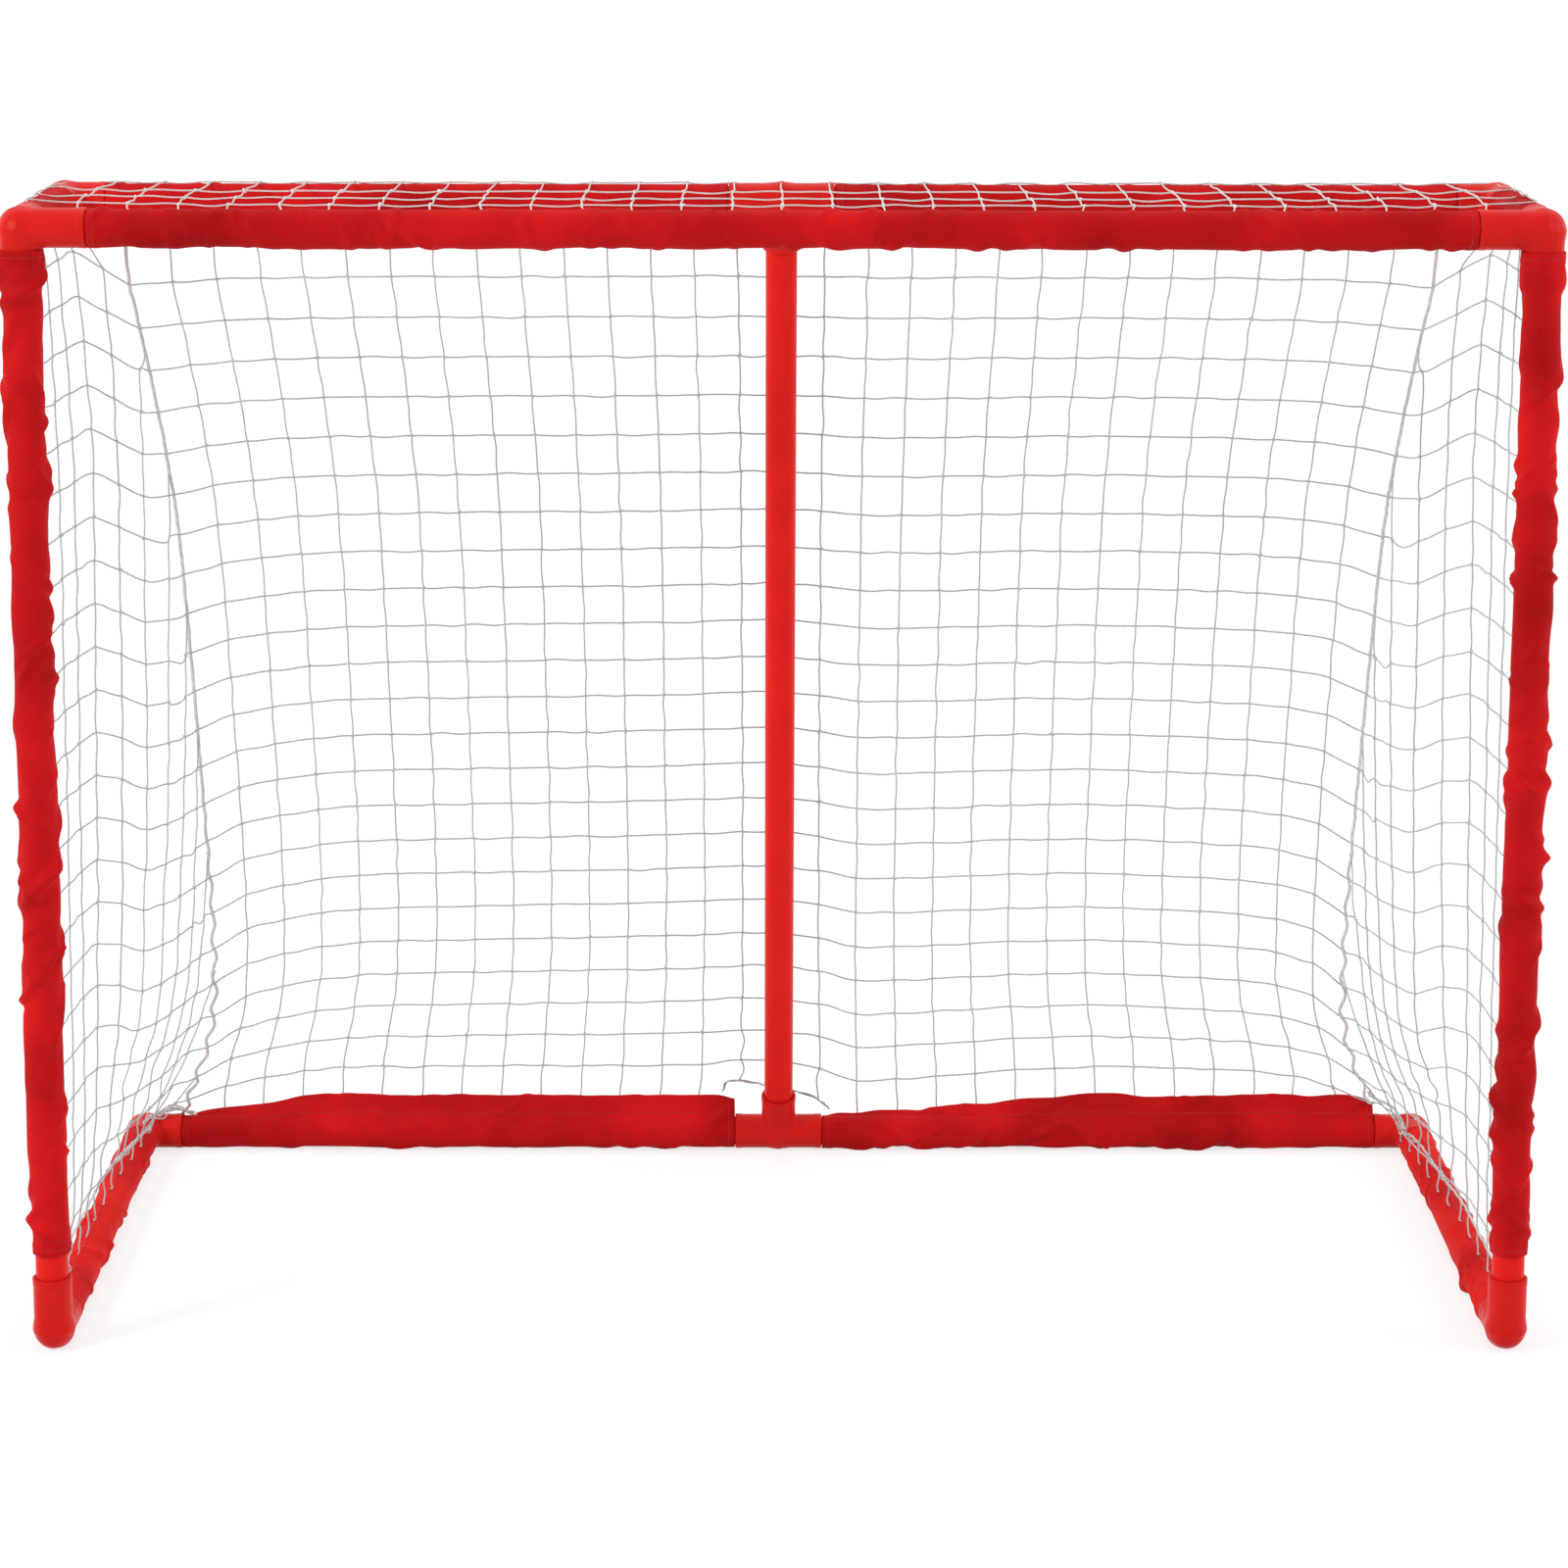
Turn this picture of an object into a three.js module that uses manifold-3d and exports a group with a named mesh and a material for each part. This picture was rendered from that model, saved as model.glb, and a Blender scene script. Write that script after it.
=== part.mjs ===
// Knock-down ball goal: a plug-together tube frame with fabric sleeves that carry a knotted net.
// Millimetres, +Z up, +X across the mouth, the mouth faces -Y, and the goal stands on z = 0.
import * as THREE from 'three';
import { mergeVertices } from 'three/addons/utils/BufferGeometryUtils.js';
import Module from 'manifold-3d';

const wasm = await Module();
wasm.setup();

const HALF = 0.5;
const FULL_TURN = Math.PI * 2;

// Overall size of the standing goal
const GOAL_WIDTH = 1400;
const GOAL_HEIGHT = 1070;
const BASE_DEPTH = 620;
const TOP_DEPTH = 240; // between the axes of the crossbar and the rear top bar

// Tube and the fittings that it plugs into
const TUBE_RADIUS = 15;
const TUBE_WALL = 1.8;
const FIT_CLEARANCE = 0.3;
const FITTING_WALL = 2.6;
const COLLAR_RISE = 0.4;
const COLLAR_LENGTH = 7;
const STOP_DISTANCE = 19; // from the corner of a fitting to the end of each bore
const BORE_RADIUS = TUBE_RADIUS + FIT_CLEARANCE;
const FITTING_RADIUS = BORE_RADIUS + FITTING_WALL;
const COLLAR_RADIUS = FITTING_RADIUS + COLLAR_RISE;
const BALL_SHARE = 0.998; // the corner ball lies just under the faces of its sockets

// Socket lengths from the corner of each fitting
const CORNER_CROSSBAR_SOCKET = 60;
const CORNER_POST_SOCKET = 50;
const CORNER_SIDE_SOCKET = 48;
const FOOT_POST_SOCKET = 52;
const FOOT_SIDE_SOCKET = 45;
const REAR_ELBOW_SOCKET = 41;
const BASE_TEE_HALF_RUN = 46;
const TOP_TEE_HALF_RUN = 50;
const TEE_BRANCH = 47;

// Fabric sleeves
const SLEEVE_SLACK = 0.5; // between a tube and the fabric round it
const SLEEVE_WALL = 1.4;
const SLEEVE_INNER = TUBE_RADIUS + SLEEVE_SLACK;
const SLEEVE_OUTER = SLEEVE_INNER + SLEEVE_WALL;
const SLEEVE_END_GAP = 1;
const FLARE_INNER = COLLAR_RADIUS + FIT_CLEARANCE;
const FLARE_OUTER = FLARE_INNER + SLEEVE_WALL;
const FLARE_TAPER = 8;
const POST_SLEEVE_FOOT = 95; // height of the lower end of a post sleeve
const FLAP_HEIGHT = 31; // the rear base sleeve stands up where the net pulls it
const FLAP_THICKNESS = 2.4;
const FLAP_START = 6.5; // up the slope from the axis of the bar
const FLAP_LEAN = 0.15;

// Axes of the frame
const AXIS_X = GOAL_WIDTH * HALF - FLARE_OUTER;
const FRONT_Y = FLARE_OUTER - BASE_DEPTH * HALF;
const BASE_REAR_Y = BASE_DEPTH * HALF - COLLAR_RADIUS;
const TOP_REAR_Y = FRONT_Y + TOP_DEPTH;
const BASE_Z = COLLAR_RADIUS;
const TOP_Z = GOAL_HEIGHT - COLLAR_RADIUS;

// Nets, seams and lacing
const NET_CORD_HALF = 1.8;
const NET_CLEARANCE = NET_CORD_HALF + FIT_CLEARANCE;
const REAR_NET_CELLS = [16, 13];
const SIDE_NET_CELLS = [5, 12];
const TOP_NET_CELLS = [16, 2];
const REAR_NET_BOW = 44;
const TOP_NET_SAG = 12;
const TOP_NET_LIFT = 11;
const SEAM_RADIUS = 2.6;
const SEAM_SLACK = 1; // the straight cords between the knots cut the bow of the seam by up to this much
const SEAM_INSET = 45; // at both ends, measured inwards from the post axis
const SEAM_BOW = 47;
const SEAM_STEPS = 14;
const HEM_RADIUS = 2.2;
const HEM_STEPS = 12;
const HEM_REAR_TURN = 1.1; // angle from the top of the sleeve towards the inside of the goal
const HEM_FRONT_TURN = -0.7;
const TIE_RADIUS = 2;
const TIE_STEPS = 8;
const TIE_CORNER = 10;
const TIE_END_GAP = 1;

// Facets of the round forms
const FITTING_SIDES = 20;
const TUBE_SIDES = 16;
const STRUT_SIDES = 24;
const BALL_RINGS = 10;
const CORD_SIDES = 6;
const SLOPE_STEP = 0.0005; // share of a net over which its direction is taken

const COLOUR = {
  fitting: 0xdd241f,
  tube: 0xd8211d,
  sleeve: 0xb5181b,
  net: 0xe4e4e0,
  cord: 0xf0efeb,
};
const FINISH = {
  fitting: { color: COLOUR.fitting, roughness: 0.32, metalness: 0 },
  tube: { color: COLOUR.tube, roughness: 0.36, metalness: 0 },
  sleeve: { color: COLOUR.sleeve, roughness: 0.82, metalness: 0 },
  net: { color: COLOUR.net, roughness: 0.75, metalness: 0 },
  cord: { color: COLOUR.cord, roughness: 0.75, metalness: 0 },
};

const X = new THREE.Vector3(1, 0, 0);
const Y = new THREE.Vector3(0, 1, 0);
const Z = new THREE.Vector3(0, 0, 1);
const at = (x, y, z) => new THREE.Vector3(x, y, z);
const along = (from, direction, distance) => from.clone().addScaledVector(direction, distance);
const mix = THREE.MathUtils.lerp;

// A round form whose flats, not its corners, lie on the given radius, so that it rests on a flat
function flatted(radius, sides) {
  return radius / Math.cos(Math.PI / sides);
}

// Distance of the hem cord from the axis of the bar that it lies on
const HEM_LIFT = flatted(SLEEVE_OUTER, TUBE_SIDES) + HEM_RADIUS + FIT_CLEARANCE;

// The strut and the rear net share one sloping plane
const TOP_CENTRE = at(0, TOP_REAR_Y, TOP_Z);
const BASE_CENTRE = at(0, BASE_REAR_Y, BASE_Z);
const SLOPE_UP = TOP_CENTRE.clone().sub(BASE_CENTRE).normalize();
const SLOPE_OUT = X.clone().cross(SLOPE_UP).negate();
const SLOPE_LENGTH = TOP_CENTRE.distanceTo(BASE_CENTRE);
const NET_FOOT = FLAP_START + FLAP_HEIGHT + NET_CLEARANCE;
const NET_HEAD = SLOPE_LENGTH - NET_CLEARANCE;
const NET_OFFSET = flatted(COLLAR_RADIUS, FITTING_SIDES) + NET_CLEARANCE; // behind the strut's line

// Turns a three.js geometry into a manifold solid
function solid(geometry) {
  const bare = geometry.clone();
  bare.deleteAttribute('normal');
  bare.deleteAttribute('uv');
  const merged = mergeVertices(bare);
  return new wasm.Manifold(new wasm.Mesh({
    numProp: 3,
    vertProperties: new Float32Array(merged.attributes.position.array),
    triVerts: new Uint32Array(merged.index.array),
  }));
}

// Turns a manifold solid back into a three.js geometry
function geometryOf(body) {
  const mesh = body.getMesh();
  const geometry = new THREE.BufferGeometry();
  geometry.setAttribute('position', new THREE.BufferAttribute(mesh.vertProperties, 3));
  geometry.setIndex(new THREE.BufferAttribute(mesh.triVerts, 1));
  geometry.computeVertexNormals();
  return geometry;
}

// Lays a geometry made along +Y on a line from a point, with its flats facing the main directions
function aim(geometry, start, direction) {
  const guide = Math.abs(direction.x) < HALF ? X : Z;
  const across = along(guide, direction, -guide.dot(direction)).normalize();
  const depth = across.clone().cross(direction);
  const frame = new THREE.Matrix4().makeBasis(across, direction, depth).setPosition(start);
  return geometry.applyMatrix4(frame);
}

// A closed solid of revolution around a line: the profile lists [radius, distance] pairs
function turned(profile, start, direction, sides) {
  const points = profile.map(([radius, distance]) => new THREE.Vector2(flatted(radius, sides), distance));
  const lathe = new THREE.LatheGeometry(points, sides, Math.PI / sides);
  return aim(lathe, start, direction);
}

// A hollow tube from one point to another
function hollow(from, to, inner, outer, sides) {
  const direction = to.clone().sub(from);
  const length = direction.length();
  const ring = [[inner, 0], [outer, 0], [outer, length], [inner, length], [inner, 0]];
  return turned(ring, from, direction.normalize(), sides);
}

// One socket of a fitting: a collar at the mouth, and a bore that ends at the stop for the tube
function socket(corner, direction, length) {
  const profile = [
    [0, 0],
    [FITTING_RADIUS, 0],
    [FITTING_RADIUS, length - COLLAR_LENGTH],
    [COLLAR_RADIUS, length - COLLAR_LENGTH],
    [COLLAR_RADIUS, length],
    [BORE_RADIUS, length],
    [BORE_RADIUS, STOP_DISTANCE],
    [0, STOP_DISTANCE],
  ];
  return solid(turned(profile, corner, direction, FITTING_SIDES));
}

// A moulded fitting: sockets that meet in a ball at the corner
function fitting(corner, arms) {
  const ball = new THREE.SphereGeometry(FITTING_RADIUS * BALL_SHARE, FITTING_SIDES, BALL_RINGS);
  ball.rotateX(Math.PI * HALF);
  ball.translate(corner.x, corner.y, corner.z);
  let body = solid(ball);
  for (const [direction, length] of arms) {
    body = body.add(socket(corner, direction, length));
  }
  return geometryOf(body);
}

// A tube that plugs into the fittings at its two ends up to their stops
function pluggedTube(fromCorner, toCorner, sides) {
  const direction = toCorner.clone().sub(fromCorner).normalize();
  const from = along(fromCorner, direction, STOP_DISTANCE + FIT_CLEARANCE);
  const to = along(toCorner, direction, -STOP_DISTANCE - FIT_CLEARANCE);
  return hollow(from, to, TUBE_RADIUS - TUBE_WALL, TUBE_RADIUS, sides);
}

// A plain sleeve between two sockets, given by the length that each socket takes up
function sleeve(fromCorner, fromSocket, toCorner, toSocket) {
  const direction = toCorner.clone().sub(fromCorner).normalize();
  const from = along(fromCorner, direction, fromSocket + SLEEVE_END_GAP);
  const to = along(toCorner, direction, -toSocket - SLEEVE_END_GAP);
  return hollow(from, to, SLEEVE_INNER, SLEEVE_OUTER, TUBE_SIDES);
}

// A post sleeve: it widens at its upper end to cover the socket of the top corner
function postSleeve(side) {
  const foot = POST_SLEEVE_FOOT;
  const head = TOP_Z - COLLAR_RADIUS - SLEEVE_END_GAP;
  const flare = TOP_Z - CORNER_POST_SOCKET - SLEEVE_END_GAP;
  const length = head - foot;
  const shoulder = flare - foot;
  const profile = [
    [SLEEVE_INNER, 0],
    [SLEEVE_OUTER, 0],
    [SLEEVE_OUTER, shoulder - FLARE_TAPER],
    [FLARE_OUTER, shoulder],
    [FLARE_OUTER, length],
    [FLARE_INNER, length],
    [FLARE_INNER, shoulder],
    [SLEEVE_INNER, shoulder - FLARE_TAPER],
    [SLEEVE_INNER, 0],
  ];
  return turned(profile, at(side * AXIS_X, FRONT_Y, foot), Z, TUBE_SIDES);
}

// A rear base sleeve with the doubled flap that stands up to the lower edge of the net
function flapSleeve(side) {
  const corner = at(side * AXIS_X, BASE_REAR_Y, BASE_Z);
  const tube = solid(sleeve(BASE_CENTRE, BASE_TEE_HALF_RUN, corner, REAR_ELBOW_SOCKET));
  const length = AXIS_X - BASE_TEE_HALF_RUN - REAR_ELBOW_SOCKET - SLEEVE_END_GAP - SLEEVE_END_GAP;
  const flap = new THREE.BoxGeometry(length, FLAP_THICKNESS, FLAP_HEIGHT);
  flap.translate(0, 0, FLAP_HEIGHT * HALF);
  flap.rotateX(Math.atan2(-SLOPE_UP.y, SLOPE_UP.z) - FLAP_LEAN);
  const root = along(BASE_CENTRE, SLOPE_UP, FLAP_START);
  root.addScaledVector(SLOPE_OUT, SLEEVE_OUTER - FLAP_THICKNESS * HALF);
  const middle = side * (BASE_TEE_HALF_RUN + SLEEVE_END_GAP + length * HALF);
  flap.translate(middle, root.y, root.z);
  return geometryOf(tube.add(solid(flap)));
}

// How far the seam of the nets stands in from the post axis at a share of its height
function seamInset(share) {
  return SEAM_INSET + SEAM_BOW * (1 - (share + share - 1) ** 2);
}

// A point of the sloping rear net plane: x across, share of the height, and distance behind the strut
function slopePoint(x, share, out) {
  const point = along(BASE_CENTRE, SLOPE_UP, mix(NET_FOOT, NET_HEAD, share));
  point.addScaledVector(SLOPE_OUT, out);
  point.x = x;
  return point;
}

// The seam is drawn forwards by the side nets between its two ends
function seamPoint(side, share) {
  const out = NET_OFFSET - REAR_NET_BOW * Math.sin(Math.PI * share);
  return slopePoint(side * (AXIS_X - seamInset(share)), share, out);
}

// The rear net lies behind the strut and bows inwards on both sides of it
function rearNetPoint(u, v) {
  const across = u + u - 1;
  const half = AXIS_X - seamInset(v) - SEAM_RADIUS - SEAM_SLACK - NET_CLEARANCE;
  const bow = REAR_NET_BOW * Math.sin(Math.PI * v) * across * across;
  return slopePoint(across * half, v, NET_OFFSET - bow);
}

// A side net runs back from the post and curls round to the seam
function sideNetPoint(side, u, v) {
  const low = BASE_Z + HEM_LIFT + HEM_RADIUS + NET_CLEARANCE;
  const high = TOP_Z - COLLAR_RADIUS - NET_CLEARANCE;
  const start = at(side * AXIS_X, FRONT_Y + FLARE_OUTER + NET_CLEARANCE, mix(low, high, v));
  const end = seamPoint(side, v);
  end.x += side * (SEAM_RADIUS + SEAM_SLACK + NET_CLEARANCE);
  end.z = Math.min(end.z, high);
  const bend = at(side * AXIS_X, end.y, mix(start.z, end.z, HALF));
  const point = start.multiplyScalar((1 - u) * (1 - u));
  point.addScaledVector(bend, (u + u) * (1 - u));
  point.addScaledVector(end, u * u);
  return point;
}

// The top net sags between the crossbar and the rear top bar
function topNetPoint(u, v) {
  const lower = TOP_NET_LIFT - NET_CORD_HALF;
  const inset = Math.sqrt(flatted(COLLAR_RADIUS, FITTING_SIDES) ** 2 - lower ** 2) + NET_CLEARANCE;
  const half = AXIS_X - inset;
  const sag = TOP_NET_SAG * Math.sin(Math.PI * v) * Math.sin(Math.PI * u);
  return at(mix(-half, half, u), mix(FRONT_Y + inset, TOP_REAR_Y - inset, v), TOP_Z + TOP_NET_LIFT - sag);
}

// A net as one lattice of square cords over a surface given by point(u, v)
function lattice([columns, rows], point) {
  const signs = [-1, 1];
  const positions = [];
  const number = new Map();
  const key = (...parts) => parts.join(' ');
  for (let i = 0; i <= columns; i += 1) {
    for (let j = 0; j <= rows; j += 1) {
      const u = i / columns;
      const v = j / rows;
      const centre = point(u, v);
      const uNext = Math.min(u + SLOPE_STEP, 1);
      const vNext = Math.min(v + SLOPE_STEP, 1);
      const tangentU = point(uNext, v).sub(point(uNext - SLOPE_STEP, v)).normalize();
      const rise = point(u, vNext).sub(point(u, vNext - SLOPE_STEP));
      const normal = tangentU.clone().cross(rise).normalize();
      const tangentV = normal.clone().cross(tangentU);
      for (const su of signs) {
        for (const sv of signs) {
          for (const sn of signs) {
            const corner = along(centre, tangentU, su * NET_CORD_HALF);
            corner.addScaledVector(tangentV, sv * NET_CORD_HALF);
            corner.addScaledVector(normal, sn * NET_CORD_HALF);
            number.set(key(i, j, su, sv, sn), positions.length / 3);
            positions.push(corner.x, corner.y, corner.z);
          }
        }
      }
    }
  }
  const triangles = [];
  const face = (...corners) => {
    const [a, b, c, d] = corners.map((corner) => number.get(key(...corner)));
    triangles.push(a, b, c, a, c, d);
  };
  for (let i = 0; i <= columns; i += 1) {
    for (let j = 0; j <= rows; j += 1) {
      face([i, j, -1, -1, 1], [i, j, 1, -1, 1], [i, j, 1, 1, 1], [i, j, -1, 1, 1]);
      face([i, j, -1, 1, -1], [i, j, 1, 1, -1], [i, j, 1, -1, -1], [i, j, -1, -1, -1]);
      if (i < columns) {
        const k = i + 1;
        face([i, j, 1, -1, 1], [k, j, -1, -1, 1], [k, j, -1, 1, 1], [i, j, 1, 1, 1]);
        face([i, j, 1, 1, -1], [k, j, -1, 1, -1], [k, j, -1, -1, -1], [i, j, 1, -1, -1]);
        face([i, j, 1, -1, -1], [k, j, -1, -1, -1], [k, j, -1, -1, 1], [i, j, 1, -1, 1]);
        face([i, j, 1, 1, 1], [k, j, -1, 1, 1], [k, j, -1, 1, -1], [i, j, 1, 1, -1]);
      }
      if (j < rows) {
        const k = j + 1;
        face([i, j, -1, 1, 1], [i, j, 1, 1, 1], [i, k, 1, -1, 1], [i, k, -1, -1, 1]);
        face([i, k, -1, -1, -1], [i, k, 1, -1, -1], [i, j, 1, 1, -1], [i, j, -1, 1, -1]);
        face([i, j, -1, 1, -1], [i, j, -1, 1, 1], [i, k, -1, -1, 1], [i, k, -1, -1, -1]);
        face([i, k, 1, -1, -1], [i, k, 1, -1, 1], [i, j, 1, 1, 1], [i, j, 1, 1, -1]);
      }
      if (i === 0) {
        face([i, j, -1, -1, -1], [i, j, -1, -1, 1], [i, j, -1, 1, 1], [i, j, -1, 1, -1]);
      }
      if (i === columns) {
        face([i, j, 1, 1, -1], [i, j, 1, 1, 1], [i, j, 1, -1, 1], [i, j, 1, -1, -1]);
      }
      if (j === 0) {
        face([i, j, 1, -1, -1], [i, j, 1, -1, 1], [i, j, -1, -1, 1], [i, j, -1, -1, -1]);
      }
      if (j === rows) {
        face([i, j, -1, 1, -1], [i, j, -1, 1, 1], [i, j, 1, 1, 1], [i, j, 1, 1, -1]);
      }
    }
  }
  const geometry = new THREE.BufferGeometry();
  geometry.setAttribute('position', new THREE.Float32BufferAttribute(positions, 3));
  geometry.setIndex(triangles);
  geometry.computeVertexNormals();
  return geometry;
}

// A round cord swept along a smooth line through points
function cord(points, radius, steps) {
  const outline = new THREE.Shape();
  for (let i = 0; i < CORD_SIDES; i += 1) {
    const angle = (i / CORD_SIDES) * FULL_TURN;
    const x = radius * Math.cos(angle);
    const y = radius * Math.sin(angle);
    if (i === 0) {
      outline.moveTo(x, y);
    } else {
      outline.lineTo(x, y);
    }
  }
  const extrudePath = new THREE.CatmullRomCurve3(points);
  return new THREE.ExtrudeGeometry(outline, { steps, extrudePath, curveSegments: 1, bevelEnabled: false });
}

function seamCord(side) {
  const points = [];
  for (let i = 0; i <= SEAM_STEPS; i += 1) {
    points.push(seamPoint(side, i / SEAM_STEPS));
  }
  return cord(points, SEAM_RADIUS, SEAM_STEPS);
}

// The hem cord of a side net winds over the base side sleeve, from its inside to its outside
function hemCord(side) {
  const from = BASE_REAR_Y - REAR_ELBOW_SOCKET - SLEEVE_END_GAP;
  const to = FRONT_Y + FOOT_SIDE_SOCKET + SLEEVE_END_GAP;
  const points = [];
  for (let i = 0; i <= HEM_STEPS; i += 1) {
    const share = i / HEM_STEPS;
    const turn = mix(HEM_REAR_TURN, HEM_FRONT_TURN, share);
    const x = side * (AXIS_X - HEM_LIFT * Math.sin(turn));
    points.push(at(x, mix(from, to, share), BASE_Z + HEM_LIFT * Math.cos(turn)));
  }
  return cord(points, HEM_RADIUS, HEM_STEPS);
}

// The tie of the net crosses over the top of a rear elbow from one bar to the other
function cornerTie(side) {
  const z = BASE_Z + COLLAR_RADIUS + TIE_RADIUS + FIT_CLEARANCE;
  const reach = REAR_ELBOW_SOCKET - TIE_END_GAP;
  const collar = REAR_ELBOW_SOCKET - COLLAR_LENGTH;
  const places = [[reach, 0], [collar, 0], [TIE_CORNER, TIE_CORNER], [0, collar], [0, reach]];
  const points = places.map(([x, y]) => at(side * (AXIS_X - x), BASE_REAR_Y - y, z));
  return cord(points, TIE_RADIUS, TIE_STEPS);
}

// Puts one named mesh into the goal
function piece(goal, name, geometry, finish) {
  const mesh = new THREE.Mesh(geometry, new THREE.MeshStandardMaterial(finish));
  mesh.name = name;
  goal.add(mesh);
}

// The pieces that a left and a right side have alike
function addSide(goal, label, side) {
  const inwards = at(-side, 0, 0);
  const topFront = at(side * AXIS_X, FRONT_Y, TOP_Z);
  const topRear = at(side * AXIS_X, TOP_REAR_Y, TOP_Z);
  const baseFront = at(side * AXIS_X, FRONT_Y, BASE_Z);
  const baseRear = at(side * AXIS_X, BASE_REAR_Y, BASE_Z);
  const down = Z.clone().negate();
  const front = Y.clone().negate();
  const named = (name, geometry, finish) => piece(goal, `${name}_${label}`, geometry, finish);

  named('top_corner_fitting', fitting(topFront, [
    [inwards, CORNER_CROSSBAR_SOCKET],
    [down, CORNER_POST_SOCKET],
    [Y, CORNER_SIDE_SOCKET],
  ]), FINISH.fitting);
  named('foot_elbow', fitting(baseFront, [[Z, FOOT_POST_SOCKET], [Y, FOOT_SIDE_SOCKET]]), FINISH.fitting);
  named('rear_top_elbow', fitting(topRear, [
    [inwards, REAR_ELBOW_SOCKET],
    [front, REAR_ELBOW_SOCKET],
  ]), FINISH.fitting);
  named('rear_base_elbow', fitting(baseRear, [
    [inwards, REAR_ELBOW_SOCKET],
    [front, REAR_ELBOW_SOCKET],
  ]), FINISH.fitting);

  named('post_tube', pluggedTube(baseFront, topFront, TUBE_SIDES), FINISH.tube);
  named('top_side_tube', pluggedTube(topFront, topRear, TUBE_SIDES), FINISH.tube);
  named('base_side_tube', pluggedTube(baseFront, baseRear, TUBE_SIDES), FINISH.tube);
  named('rear_top_tube', pluggedTube(TOP_CENTRE, topRear, TUBE_SIDES), FINISH.tube);
  named('rear_base_tube', pluggedTube(BASE_CENTRE, baseRear, TUBE_SIDES), FINISH.tube);

  named('post_sleeve', postSleeve(side), FINISH.sleeve);
  named('top_side_sleeve', sleeve(topFront, CORNER_SIDE_SOCKET, topRear, REAR_ELBOW_SOCKET), FINISH.sleeve);
  named('base_side_sleeve', sleeve(baseFront, FOOT_SIDE_SOCKET, baseRear, REAR_ELBOW_SOCKET), FINISH.sleeve);
  named('rear_top_sleeve', sleeve(TOP_CENTRE, TOP_TEE_HALF_RUN, topRear, REAR_ELBOW_SOCKET), FINISH.sleeve);
  named('rear_base_sleeve', flapSleeve(side), FINISH.sleeve);

  const sidePoint = (u, v) => sideNetPoint(side, side > 0 ? u : 1 - u, v);
  named('side_net', lattice(SIDE_NET_CELLS, sidePoint), FINISH.net);
  named('seam_cord', seamCord(side), FINISH.cord);
  named('hem_cord', hemCord(side), FINISH.cord);
  named('corner_tie', cornerTie(side), FINISH.cord);
}

// The pieces on the middle line of the goal
function addMiddle(goal) {
  const left = X.clone().negate();
  const slopeDown = SLOPE_UP.clone().negate();
  piece(goal, 'rear_top_tee', fitting(TOP_CENTRE, [
    [X, TOP_TEE_HALF_RUN],
    [left, TOP_TEE_HALF_RUN],
    [slopeDown, TEE_BRANCH],
  ]), FINISH.fitting);
  piece(goal, 'rear_base_tee', fitting(BASE_CENTRE, [
    [X, BASE_TEE_HALF_RUN],
    [left, BASE_TEE_HALF_RUN],
    [SLOPE_UP, TEE_BRANCH],
  ]), FINISH.fitting);
  const topLeft = at(-AXIS_X, FRONT_Y, TOP_Z);
  const topRight = at(AXIS_X, FRONT_Y, TOP_Z);
  piece(goal, 'crossbar_tube', pluggedTube(topLeft, topRight, TUBE_SIDES), FINISH.tube);
  piece(goal, 'centre_strut', pluggedTube(BASE_CENTRE, TOP_CENTRE, STRUT_SIDES), FINISH.tube);
  const crossbarSleeve = sleeve(topLeft, CORNER_CROSSBAR_SOCKET, topRight, CORNER_CROSSBAR_SOCKET);
  piece(goal, 'crossbar_sleeve', crossbarSleeve, FINISH.sleeve);
  piece(goal, 'rear_net', lattice(REAR_NET_CELLS, rearNetPoint), FINISH.net);
  piece(goal, 'top_net', lattice(TOP_NET_CELLS, topNetPoint), FINISH.net);
}

const goal = new THREE.Group();
goal.name = 'ball_goal';
addMiddle(goal);
addSide(goal, 'left', -1);
addSide(goal, 'right', 1);

export default goal;
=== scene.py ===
"""Floorball goal: the visual model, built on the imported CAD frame, in metres."""

import logging
import math
from collections.abc import Callable, Sequence
from dataclasses import dataclass, field
from enum import Enum, IntEnum
from functools import cache

import bpy
import numpy as np
from bpy.types import Material, Node, NodeTree, Object
from bpy.types import NodeSocket as Socket
from mathutils import Matrix, Vector


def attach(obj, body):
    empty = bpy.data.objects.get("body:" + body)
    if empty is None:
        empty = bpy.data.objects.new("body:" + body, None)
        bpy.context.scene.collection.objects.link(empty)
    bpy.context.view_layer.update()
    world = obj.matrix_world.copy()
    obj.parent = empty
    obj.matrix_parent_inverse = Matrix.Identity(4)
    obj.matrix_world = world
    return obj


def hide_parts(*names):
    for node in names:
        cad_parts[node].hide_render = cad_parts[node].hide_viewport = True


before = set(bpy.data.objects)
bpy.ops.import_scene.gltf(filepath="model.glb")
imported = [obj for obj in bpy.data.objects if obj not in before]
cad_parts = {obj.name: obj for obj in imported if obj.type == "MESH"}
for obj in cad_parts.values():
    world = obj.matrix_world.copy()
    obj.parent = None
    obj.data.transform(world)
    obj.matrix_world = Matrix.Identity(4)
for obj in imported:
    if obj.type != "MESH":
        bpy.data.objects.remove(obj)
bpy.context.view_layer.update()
LOG = logging.getLogger("goal")
BODY = "root"
TAU = math.tau
TINY = 1e-9
WHITE = (1, 1, 1, 1)
Array = np.ndarray
Grid = dict[tuple[int, int], int]


# Sizes


class Side(IntEnum):
    """The goal's two sides, each with its sign along the goal's width."""

    LEFT = -1
    RIGHT = 1

    @property
    def label(self) -> str:
        """The side's word in the names of pieces."""
        return self.name.lower()


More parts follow.
